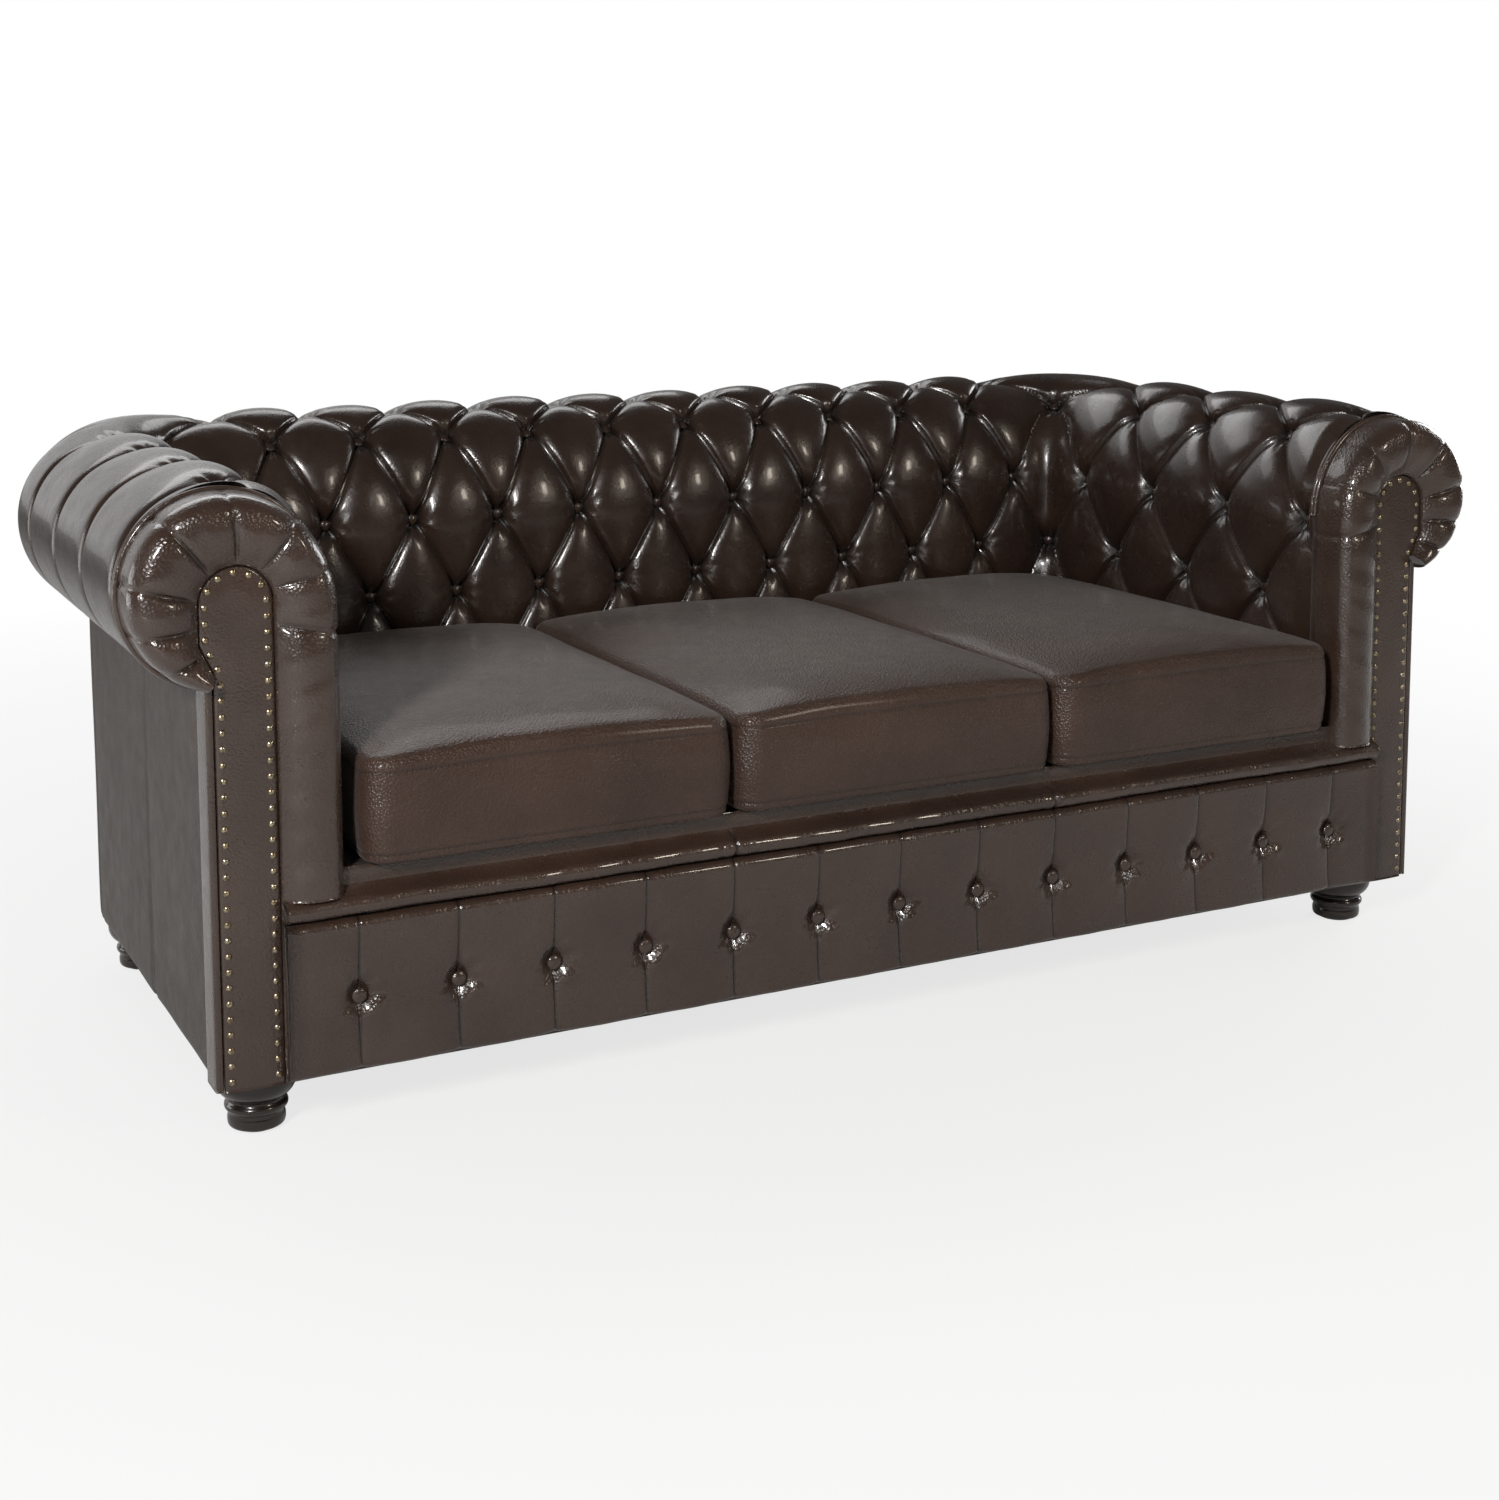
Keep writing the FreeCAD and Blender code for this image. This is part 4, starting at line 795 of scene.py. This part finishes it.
# Front depth by x and height: pillow between seams, a dimple at each button with a pucker beside it
# and creases round it, a groove at each seam, and round edges above and below
def skirtGrid(columns):
    fine = np.concatenate([[0], np.geomspace(1.2, skirt["pitch"] / 2, 18)])
    x = np.unique(np.round(np.add.outer(columns, np.concatenate([fine, -fine])), 3))
    x = np.concatenate([x[np.abs(x) < skirt["half"] - 1], [-skirt["half"], skirt["half"]]])
    x = np.sort(x)[:, None]
    t = np.linspace(0, 1, 56)
    z = skirt["low"] + (skirt["high"] - skirt["low"]) * t
    nearest = columns[np.argmin(np.abs(x - columns), axis=1)][:, None]
    aside, above = x - nearest, z - skirt["buttonHeight"]
    away = np.abs(aside)
    far = np.hypot(away, above)
    swell = skirt["swell"] * np.exp(-away / skirt["swellWidth"])
    y = skirt["front"] + swell * (0.55 + 0.45 * np.cos(t * 5 - 2.0))
    y = y + skirt["dimple"] * np.exp(-(far / skirt["dimpleWidth"]) ** 2.6)
    fromPucker = np.hypot(aside - skirt["puckerAside"], above + skirt["puckerBelow"])
    y = y - skirt["pucker"] * np.exp(-(fromPucker / skirt["puckerWidth"]) ** 2)
    y = y + skirt["groove"] * np.exp(-away / skirt["grooveWidth"])
    radial = np.sin(skirt["creases"] * np.arctan2(above, aside) + nearest)
    y = y + skirt["crease"] * radial * np.exp(-((far - skirt["creaseReach"]) / skirt["creaseWidth"]) ** 2)
    y = y + skirt["wave"] * np.sin(x / 31.0 + z / 37.0) * np.sin(z / 19.0 + x / 83.0)
    for edge in (skirt["low"], skirt["high"]):
        near = np.clip(1 - np.abs(z - edge) / skirt["edgeRound"], 0, 1)
        y = y + skirt["edgeRound"] * (1 - np.sqrt(1 - near ** 2))
    lift = skirt["scallop"] * np.exp(-away / skirt["scallopWidth"])
    z = z + lift * np.clip(1 - t * 5, 0, 1) - lift * 0.5 * np.clip(t * 5 - 4, 0, 1)
    y = np.concatenate([y, np.full((len(x), 2), skirt["back"])], axis=1)
    z = np.concatenate([z, np.tile([skirt["high"], skirt["low"] + 1.0], (len(x), 1))], axis=1)
    # Painted shade: darker along each seam's groove and round each button's dimple
    dark = 0.9 * np.exp(-away / 1.8) + 0.3 * np.exp(-(far / 15) ** 2)
    return np.stack([x + 0 * y, y, z], -1), np.clip(dark, 0, 1)


# The skirt and its buttons, which share one row of columns about the middle
def skirtPieces():
    columns = (np.arange(skirt["buttons"]) - (skirt["buttons"] - 1) / 2) * skirt["pitch"]
    grid, dark = skirtGrid(columns)
    piece = tubePiece("skirtLeather", grid, "borderLeather", dark=dark)
    assign(piece, "sofa", "skirt")
    centres = np.array([(x, skirt["buttonPlace"], skirt["buttonHeight"]) for x in columns])
    form = domeGrid(skirt["buttonRadius"], skirt["buttonDome"], 24, 7)
    facing = np.tile([0.0, -1.0, 0.0], (len(columns), 1))
    buttons = copiesPiece("skirtButtons", form, centres, facing, "borderLeather")
    assign(buttons, "sofa", "skirt_buttons")


skirtPieces()
print("skirt made")


# Seat lip: a padded roll along the front with two seams, and a flap up the deck behind it

lip = {
    "half": 812.5, "seams": (-240.5, 240.5), "seamDepth": 3.2, "seamWidth": 1.6, "pucker": 1.3,
    "puckerWidth": 12.0, "flat": -449.5, "flatOver": 12.0,
    "section": [(-450.4, 264.2), (-458, 263.8), (-466, 265.0), (-471.5, 268.5), (-474, 274), (-474, 279),
                (-471.5, 284), (-466, 287), (-459, 289), (-452.5, 293), (-447.5, 299), (-445.2, 307),
                (-445.0, 317), (-447.6, 317), (-448.2, 305), (-450.4, 291)],
}


# A closed ring of values, each blended half and half with the mean of its neighbours
def smoothed(values):
    return (np.roll(values, 1) + 2 * values + np.roll(values, -1)) / 4


# The smoothed section carried along X. In front of the flat part it has waves, and a groove with
# puckers at each seam
def lipGrid():
    x = np.linspace(-lip["half"], lip["half"], 420)
    fine = [np.linspace(seam - 26, seam + 26, 61) for seam in lip["seams"]]
    x = np.unique(np.concatenate([x, *fine]))[:, None]
    section = np.array(lip["section"])
    dense, t = np.linspace(0, 1, 52), np.linspace(0, 1, len(section))
    y, z = (smoothed(smoothed(np.interp(dense, t, section[:, k]))) for k in range(2))
    outside = np.clip((lip["flat"] - y) / lip["flatOver"], 0, 1)
    seam = np.min(np.abs(x - np.array(lip["seams"])), axis=1, keepdims=True)
    groove = lip["seamDepth"] * np.exp(-seam / lip["seamWidth"])
    groove = groove + lip["pucker"] * np.exp(-seam / lip["puckerWidth"]) * np.cos(seam / 3.1)
    wave = 0.8 * np.sin(x / 47.0) * np.sin(x / 19.0 + 1.0) + 0.5 * np.sin(x / 11.0)
    y = y + (groove + wave) * outside
    z = z + 0.6 * np.sin(x / 61.0) * outside
    # The second value is painted shade along each seam's groove, on the roll's front only
    return np.stack([x + 0 * y, y, z], -1), np.exp(-seam / 1.8) * outside


lipShape, lipPaintedShade = lipGrid()
lipPiece = tubePiece("seatLip", lipShape, "borderLeather", dark=lipPaintedShade)
assign(lipPiece, "sofa", "seat_lip")
print("seat lip made")


# Seat cushions: crowned boxes with a stitched seam near the top edge and one near the bottom

cushion = {
    "width": 479.0, "step": 481.0, "front": -480.0, "back": 226.0, "bottom": 319.2, "height": 122.0,
    "corner": 36.0, "edge": 9.0, "lowEdge": 6.3, "sideSwell": 6.0, "crown": 19.0, "frontCrown": 7.0,
    "crownStart": 40.0, "topSeam": 15.0, "lowSeam": 12.0, "seamDepth": 1.1, "seamWidth": 1.5, "seamRise": 0.5,
}


# Rounded rectangle, from its near side on: a straight run up to each corner, then the corner's
# quarter circle. Gives the points and their unit outward directions
def cushionOutline(half, near, far, corner, perSide=46, perCorner=14):
    right, low, high = half - corner, near + corner, far - corner
    centres = np.array([(right, low), (right, high), (-right, high), (-right, low)])[:, None]
    turn = np.arange(-1, 3)[:, None] * math.pi / 2 + np.linspace(0, math.pi / 2, perCorner)
    around = np.stack([np.cos(turn), np.sin(turn)], -1)
    corners = centres + corner * around
    before = np.roll(corners[:, -1:], 1, axis=0)
    t = np.linspace(0, 1, perSide)[1:-1, None]
    points = np.concatenate([before + (corners[:, :1] - before) * t, corners], axis=1)
    outward = np.concatenate([around[:, :1] + 0 * t, around], axis=1)
    return points.reshape(-1, 2), outward.reshape(-1, 2)


# Rings drawn in from one ring towards the cushion's middle, each by its share of the way
def drawnIn(ring, shares):
    middle = np.array([0.0, (cushion["front"] + cushion["back"]) / 2])
    return middle + (ring - middle) * (1 - shares[:, None, None])


# Rings from the underside's middle, out and up the wall, then in over the crowned top. The wall
# swells, with a groove at each seam and a small rise over it. The top's crown falls off towards
# the sides, with slow waves
def cushionGrid(centre, seed):
    look = cushion
    half, edge, lowEdge = look["width"] / 2, look["edge"], look["lowEdge"]
    low, high = look["bottom"], look["bottom"] + look["height"]
    turn, wallShare = np.linspace(0, math.pi / 2, 9), np.linspace(0, 1, 56)
    wallZ = np.concatenate([low + lowEdge * (1 - np.cos(turn[:-1])),
                            low + lowEdge + (high - low - lowEdge - edge) * wallShare,
                            high - edge + edge * np.sin(turn[1:])])
    wallIn = np.concatenate([lowEdge * (1 - np.sin(turn[:-1])), 0 * wallShare, edge * (1 - np.cos(turn[1:]))])
    overSeam = wallZ - np.array([[high - look["topSeam"]], [low + look["lowSeam"]]])
    out = -look["sideSwell"] * (2 * (wallZ - low) / (high - low) - 1) ** 2 - wallIn
    out = out - look["seamDepth"] * np.exp(-(overSeam / look["seamWidth"]) ** 2).sum(axis=0)
    out = out + look["seamRise"] * np.exp(-((overSeam - 4) / 3.5) ** 2).sum(axis=0)
    outline, outward = cushionOutline(half, look["front"], look["back"], look["corner"])
    wall = outline + outward * out[:, None, None]
    lowShares = np.concatenate([np.linspace(0.97, 0.12, 12), [0.06, 0.03]])
    topShares = np.concatenate([[0.015, 0.03, 0.06], np.linspace(0.09, 0.98, 34), [0.99, 0.996, 0.9988]])
    rings = np.concatenate([drawnIn(wall[0], lowShares), wall, drawnIn(wall[-1], topShares)])
    x, y = rings[..., 0], rings[..., 1]
    z = np.concatenate([low + 0 * lowShares, wallZ, high + 0 * topShares])[:, None]
    u = np.clip(np.abs(x) / half, 0, 1)
    v = np.clip(np.abs(2 * y - look["front"] - look["back"]) / (look["back"] - look["front"]), 0, 1)
    risen = np.clip((z - high) / look["crownStart"] + 1, 0, 1) ** 1.5
    dome = look["crown"] * (1 - u ** 5) * (1 - v ** 7) + look["frontCrown"] * (1 - u ** 2.2)
    wave = 0.8 * np.sin(x / 71.0 + seed) * np.sin(y / 93.0 + 2 * seed)
    wave = wave + 0.35 * np.sin(x / 23.0 + y / 31.0 + seed)
    z = z + risen * (dome + wave)
    ripple = 0.5 * np.sin(x / 37.0 + z / 13.0 + seed) * np.sin(z / 29.0)
    y = y + ripple * np.clip(1 - (y - look["front"]) / 40, 0, 1)
    # Painted shade: the wall darkens along the groove of each seam
    dark = np.zeros(x.shape)
    dark[len(lowShares):-len(topShares)] = 0.45 * np.exp(-(overSeam / 1.4) ** 2).sum(axis=0)[:, None]
    return np.stack([x + centre, y, z], -1), dark


for number, name in enumerate(("left", "middle", "right")):
    grid, dark = cushionGrid((number - 1) * cushion["step"], 1.0 + 1.7 * number)
    piece = tubePiece("seatCushion" + name.capitalize(), grid, "seatLeather", dark=dark)
    assign(piece, "cushion_%s_body" % name, "cushion_" + name)
print("seat cushions made")


# Outside panels: leather skins, slightly full, that pinch in at their seams

panels = {
    "outerX": 887.0, "thickness": 8.0, "low": 76.0, "high": 530.6, "lowRadius": 114.0, "highRadius": 174.0,
    "turnY": 218.0, "seamY": -107.0, "rearSeamY": 226.0, "frontY": -404.5, "gap": 0.3,
    "full": 2.2, "fullEnds": 40.0, "fullTops": 60.0, "pinch": 1.8, "pinchWidth": 5.0, "wave": 0.5,
    "cornerLength": 210.0, "backLength": 1450.0,
}


# A skin along a path, thickened inwards: place gives x, y, the outward direction and the length for
# whole arrays of share along and rise. It is full in the middle and falls in at its four edges
def skinGrid(place, count, *ends):
    look = panels
    t = np.linspace(0, 1, count)[:, None]
    rise = np.linspace(0, 1, 60)[None, :]
    x, y, dx, dy, length = place(t, rise, *ends)
    z = look["low"] + (look["high"] - look["low"]) * rise + 0 * t
    fromEnds = np.minimum(t, 1 - t) * length
    fromTops = np.minimum(rise, 1 - rise) * (look["high"] - look["low"])
    out = look["full"] * (1 - np.exp(-fromEnds / look["fullEnds"]))
    out = out * (1 - np.exp(-fromTops / look["fullTops"]))
    out = out - look["pinch"] * np.exp(-(fromEnds / look["pinchWidth"]) ** 1.5)
    out = out - look["full"] * np.exp(-fromTops / 5.0)
    out = out + look["wave"] * np.sin(z / 67.0 + t * 4.0) * np.sin(t * 9.0 + 1.0)
    outer = np.stack([x + dx * out, y + dy * out, z], -1)
    inner = np.stack([x - dx * look["thickness"], y - dy * look["thickness"], z], -1)[:, [-1, 0]]
    return np.concatenate([outer, inner], axis=1)


# Side panel: a straight run from start to end on the outer plane of one side
def sidePlace(t, rise, sideSign, start, end):
    y = start + (end - start) * t + 0 * rise
    return panels["outerX"] * sideSign + 0 * y, y, sideSign + 0 * y, 0 * y, abs(end - start)


# The rear corner's radius grows evenly from bottom to top
def cornerRadius(rise):
    return panels["lowRadius"] + (panels["highRadius"] - panels["lowRadius"]) * rise


# Corner panel: an arc of a cone from the rear seam to straight behind
def cornerPlace(t, rise, sideSign):
    radius = cornerRadius(rise)
    first = np.arcsin((panels["rearSeamY"] - panels["turnY"]) / radius)
    angle = first + (math.pi / 2 - first) * t
    x = panels["outerX"] - radius + radius * np.cos(angle)
    y = panels["turnY"] + radius * np.sin(angle)
    return x * sideSign, y, np.cos(angle) * sideSign, np.sin(angle), panels["cornerLength"]


# Back panel: straight from corner to corner, leaning out as the corner's radius grows
def backPlace(t, rise):
    radius = cornerRadius(rise)
    x = (panels["outerX"] - radius - panels["gap"]) * (1 - 2 * t)
    return x, panels["turnY"] + radius + 0 * t, 0 * x, 1 + 0 * x, panels["backLength"]


# The back, and on each side a front panel, a rear panel and a corner
def panelPieces():
    front, seam, rear, gap = (panels[key] for key in ("frontY", "seamY", "rearSeamY", "gap"))
    jobs = [("outsideBack", "outer_back", backPlace, 160)]
    for sideSign, side in sides:
        title = side.capitalize()
        jobs += [
            ("outsideFront" + title, "outer_arm_front_" + side, sidePlace, 60, sideSign, front, seam - gap),
            ("outsideRear" + title, "outer_arm_rear_" + side, sidePlace, 60, sideSign, seam + gap,
             rear - gap),
            ("outsideCorner" + title, "outer_corner_" + side, cornerPlace, 60, sideSign),
        ]
    for name, node, place, count, *ends in jobs:
        assign(tubePiece(name, skinGrid(place, count, *ends), "panelLeather"), "sofa", node)


panelPieces()
print("outside panels made")


# Feet: turned buns on a beaded waist and a small base

foot = {
    "centres": {"front_left": (-829, -376), "front_right": (829, -376),
                "back_left": (-829, 230), "back_right": (829, 230)},
    "profile": [(0, 3), (20, 3), (31, 3), (33.2, 5), (34, 9), (34, 14), (33, 18), (33, 21), (34.6, 22.5),
                (37, 25.5), (37.4, 28), (37, 30.5), (34.6, 33.5), (33.8, 35.5), (35, 38), (40, 42),
                (44.4, 47), (47.2, 53), (48, 59), (47, 65), (44, 70), (40, 72.2), (20, 72.2), (0, 72.2)],
    "rings": 120, "around": 56, "rounds": 3, "least": 0.4,
}


# Profile turned about its own upright line. Its rings are blended with their neighbours a few times
def footGrid(centre):
    profile = np.array(foot["profile"], float)
    dense, t = np.linspace(0, 1, foot["rings"]), np.linspace(0, 1, len(profile))
    r, z = (np.interp(dense, t, profile[:, k]) for k in range(2))
    for _ in range(foot["rounds"]):
        r[1:-1], z[1:-1] = ((line[:-2] + 2 * line[1:-1] + line[2:]) / 4 for line in (r, z))
    r, z = np.maximum(r, foot["least"])[:, None], z[:, None]
    turn = np.linspace(0, 2 * math.pi, foot["around"], endpoint=False)
    x = centre[0] + r * np.cos(turn)
    return np.stack([x, centre[1] + r * np.sin(turn), z + 0 * x], -1)


for where, centre in foot["centres"].items():
    title = "".join(word.capitalize() for word in where.split("_"))
    piece = tubePiece("foot" + title, footGrid(centre), "footWood")
    assign(piece, "sofa", "foot_" + where)
print("feet made")


# The deck under the cushions: a closed slab whose top dips along its seams and puffs between them

deck = {"seams": (-240.5, 240.5), "frontSeam": 96.0, "puff": 3.0, "dip": 2.2, "rounding": 9.0}
dustCover = {"seams": (-480.0, 0.0, 480.0), "frontSeam": 330.0, "puff": 0.5, "dip": 0.3, "rounding": 0.8,
             "cornerX": 773.0, "cornerY": 218.0, "cornerRadius": 100.0, "sag": 4.0}


# A slab in its CAD node's box: sections along X, each a loop over the rounded top and back below.
# The top puffs out with the distance from the seams and dips on them
def slabGrid(node, look):
    (x0, y0, z0), (x1, y1, z1) = np.array(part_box(node)) / toMetres
    puff, dip = look["puff"], look["dip"]
    rounding = min(look["rounding"], (z1 - z0) * 0.45)
    x = np.concatenate([[x0 + 0.2, x0 + 1.5], np.linspace(x0 + 6, x1 - 6, 241), [x1 - 1.5, x1 - 0.2]])
    x = x[:, None]
    inset = np.array([rounding, 3.0] + [0.0] * 241 + [3.0, rounding])[:, None]
    turn = np.linspace(0, math.pi / 2, 7)
    inner = np.linspace(y0 + rounding, y1 - rounding, 90)[1:-1]
    rises, falls = rounding * (1 - np.cos(turn)), rounding * (1 - np.sin(turn))
    y = np.concatenate([y0 + falls, inner, y1 - rises[::-1]])
    top = np.concatenate([z1 - rises, z1 + 0 * inner, z1 - falls[::-1]])
    away = np.abs(x - np.array(look["seams"])).min(axis=1, keepdims=True)
    far = np.abs(y - (y0 + look["frontSeam"]))
    sunk = dip * (np.exp(-(away / 3.0) ** 2) + np.exp(-(far / 3.0) ** 2))
    full = puff * (1 - np.exp(-away / 60.0)) * (1 - np.exp(-far / 60.0))
    ripple = 0.5 * np.sin(x / 41.0) * np.sin(y / 57.0)
    z = top - puff - 0.6 + full + ripple - np.clip(sunk, 0, dip)
    z = np.maximum(z - inset * 0.6, z0 + 1.0)
    loopZ = np.concatenate([z, z0 + inset * 0.4 + 0 * z], axis=1)
    loopY = np.concatenate([y, y[::-1]]) + 0 * loopZ
    # The second value is painted shade in the dips along the seams
    return np.stack([x + 0 * loopZ, loopY, loopZ], -1), 0.7 * np.clip(sunk / dip, 0, 1) ** 2


# The deck as it is. The dust cover is the same slab turned over, drawn in at its rear corners to an
# arc, and hanging a little in its middle
def deckPieces():
    grid, dark = slabGrid("deck_pad", deck)
    assign(tubePiece("seatDeck", grid, "deckCloth", dark=dark), "sofa", "deck_pad")
    lowest, highest = np.array(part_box("dust_cover")) / toMetres
    grid, _ = slabGrid("dust_cover", dustCover)
    x, y, z = np.moveaxis(grid, -1, 0)
    z = lowest[2] + highest[2] - z
    radius = dustCover["cornerRadius"]
    past = np.clip(np.abs(x) - dustCover["cornerX"], 0, radius)
    reach = dustCover["cornerY"] + np.sqrt(radius ** 2 - past ** 2)
    y = lowest[1] + (y - lowest[1]) * (reach - lowest[1]) / (highest[1] - lowest[1])
    u, v = ((2 * line - lowest[k] - highest[k]) / (highest[k] - lowest[k]) for k, line in enumerate((x, y)))
    z = z - dustCover["sag"] * (1 - np.abs(u) ** 8) * (1 - np.abs(v) ** 4)
    cover = tubePiece("dustCloth", np.stack([x, y, z], -1), "dustCloth")
    assign(cover, "sofa", "dust_cover")


deckPieces()
print("seat deck and dust cover made")


# Camera, lamps, world and floor

view = {"place": (-1.4464, -2.7754, 1.0636), "yaw": -26.1, "pitch": -6.3, "turn": -0.3,
        "lens": 51.63, "sensor": 36.0, "shiftX": 0.0465, "shiftY": -0.2011}


# The camera looks ahead by yaw and pitch, and is turned about that line of sight
def placeCamera():
    yaw, pitch, turn = (math.radians(view[key]) for key in ("yaw", "pitch", "turn"))
    ahead = np.array([-math.sin(yaw) * math.cos(pitch), math.cos(yaw) * math.cos(pitch), math.sin(pitch)])
    right = np.array([math.cos(yaw), math.sin(yaw), 0.0])
    up = np.cross(right, ahead)
    turnedRight = right * math.cos(turn) + up * math.sin(turn)
    turnedUp = -right * math.sin(turn) + up * math.cos(turn)
    camera = bpy.data.objects.new("camera", bpy.data.cameras.new("camera"))
    bpy.context.scene.collection.objects.link(camera)
    camera.data.lens = view["lens"]
    camera.data.sensor_width = view["sensor"]
    camera.data.shift_x, camera.data.shift_y = view["shiftX"], view["shiftY"]
    matrix = np.eye(4)
    matrix[:3] = np.stack([turnedRight, turnedUp, -ahead, view["place"]], axis=1)
    camera.matrix_world = Matrix(matrix.tolist())
    bpy.context.scene.camera = camera


placeCamera()


# A small key from the left, a small one in front to the right, a wide one behind and above, and one
# at each side
lamps = {
    "keyLamp": {"place": (-3.0, -3.0, 2.3), "aim": (0, -0.1, 0.5), "width": 0.42, "height": 0.68,
                "power": 140, "colour": (1.0, 0.98, 0.96)},
    "frontLamp": {"place": (1.8, -3.9, 2.2), "aim": (0.2, 0, 0.5), "width": 0.5, "height": 0.8,
                  "power": 32, "colour": (1.0, 0.90, 0.76)},
    "skyLamp": {"place": (-0.2, 2.2, 2.6), "aim": (0, 0, 0.5), "width": 3.4, "height": 1.0,
                "power": 28, "colour": (1.0, 1.0, 1.0)},
    "rightLamp": {"place": (3.8, 0.6, 1.3), "aim": (0.9, 0, 0.4), "width": 1.6, "height": 1.6,
                  "power": 60, "colour": (1.0, 1.0, 1.0)},
    "sideLamp": {"place": (-3.6, 1.6, 0.5), "aim": (-0.95, 0, 0.4), "width": 1.6, "height": 1.8,
                 "power": 26, "colour": (1.0, 1.0, 1.0)},
}


# Each lamp is a rectangle whose back is turned away from its aim
def placeLamps():
    for name, look in lamps.items():
        light = bpy.data.lights.new(name, "AREA")
        light.color = look["colour"]
        light.shape = "RECTANGLE"
        light.size, light.size_y, light.energy = look["width"], look["height"], look["power"]
        lamp = bpy.data.objects.new(name, light)
        lamp.location = look["place"]
        direction = Vector(look["aim"]) - Vector(look["place"])
        lamp.rotation_euler = direction.to_track_quat("-Z", "Y").to_euler()
        bpy.context.scene.collection.objects.link(lamp)


placeLamps()

white = (1.0, 1.0, 1.0, 1.0)
backdrop = {"towards": (-0.12, 0.98, 0.1), "edge": 0.76, "full": 0.95, "dim": 0.07, "bright": 0.75}


# The world is white to the camera. For light and reflections it is bright behind the sofa, as a
# studio backdrop is, and dim on the other sides
def placeWorld():
    world = bpy.data.worlds.new("studio")
    bpy.context.scene.world = world
    world.use_nodes = True
    tree = world.node_tree
    seen = makeNode(tree, "ShaderNodeLightPath", {}).outputs["Is Camera Ray"]
    direction = makeNode(tree, "ShaderNodeTexCoord", {}).outputs["Generated"]
    facing = makeNode(tree, "ShaderNodeVectorMath", {0: direction, 1: backdrop["towards"]},
                      operation="DOT_PRODUCT")
    lit = rangeNode(tree, facing.outputs["Value"], backdrop["dim"], backdrop["bright"],
                    backdrop["edge"], backdrop["full"])
    strongest = makeNode(tree, "ShaderNodeMath", {0: lit, 1: seen}, operation="MAXIMUM")
    background = tree.nodes["Background"]
    background.inputs["Color"].default_value = white
    tree.links.new(strongest.outputs["Value"], background.inputs["Strength"])


placeWorld()

ground = {"corners": [(-14, -10, 0), (14, -10, 0), (14, 14, 0), (-14, 14, 0)],
          "pale": (0.72, 0.72, 0.72, 1.0), "rough": 0.9, "shine": 0.1,
          "glowNear": 0.76, "glowFar": 1.0, "near": 0.8, "far": 3.2}


# A dull pale floor. To the camera it glows towards white with the distance from the sofa
def placeFloor():
    mesh = bpy.data.meshes.new("floor")
    mesh.from_pydata(ground["corners"], [], [(0, 1, 2, 3)])
    floor = bpy.data.objects.new("floor", mesh)
    bpy.context.scene.collection.objects.link(floor)
    material, tree = newMaterial("paleFloor")
    dull = makeNode(tree, "ShaderNodeBsdfPrincipled", {
        "Base Color": ground["pale"], "Roughness": ground["rough"], "Specular IOR Level": ground["shine"]})
    glow = makeNode(tree, "ShaderNodeEmission", {"Color": white})
    seen = makeNode(tree, "ShaderNodeLightPath", {}).outputs["Is Camera Ray"]
    away = makeNode(tree, "ShaderNodeVectorMath", {0: objectPlace(tree)}, operation="LENGTH")
    whiter = rangeNode(tree, away.outputs["Value"], ground["glowNear"], ground["glowFar"],
                       ground["near"], ground["far"])
    share = makeNode(tree, "ShaderNodeMath", {0: seen, 1: whiter}, operation="MULTIPLY")
    mixed = makeNode(tree, "ShaderNodeMixShader", {
        "Fac": share.outputs["Value"], 1: dull.outputs["BSDF"], 2: glow.outputs["Emission"]})
    makeNode(tree, "ShaderNodeOutputMaterial", {"Surface": mixed.outputs["Shader"]})
    mesh.materials.append(material)


placeFloor()
bpy.context.scene.view_settings.view_transform = "Standard"
print("camera, lamps and floor placed")


# CAD parts that keep their own shape get their finishes here
finishes = {
    "frameWood": ["back_rail", "side_rail_left", "side_rail_right", "cross_rails", "corner_blocks",
                  "rear_post_left", "rear_post_right", "arm_top_rail_left", "arm_top_rail_right",
                  "arm_tuck_rail_left", "arm_tuck_rail_right", "back_top_rail", "back_tuck_rail",
                  "back_uprights"],
    "steel": ["seat_springs", "spring_clips", "foot_bolts"],
    "foam": ["cushion_core_left", "cushion_core_middle", "cushion_core_right"],
    "glide": ["foot_glides"],
    "nailBrass": ["facing_nails_left", "facing_nails_right"],
    "borderLeather": ["front_rail", "front_board_left", "front_board_right"],
}
for finish, names in finishes.items():
    for name in names:
        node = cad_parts[name]
        node.data.materials.clear()
        node.data.materials.append(materials[finish])

bpy.context.view_layer.update()
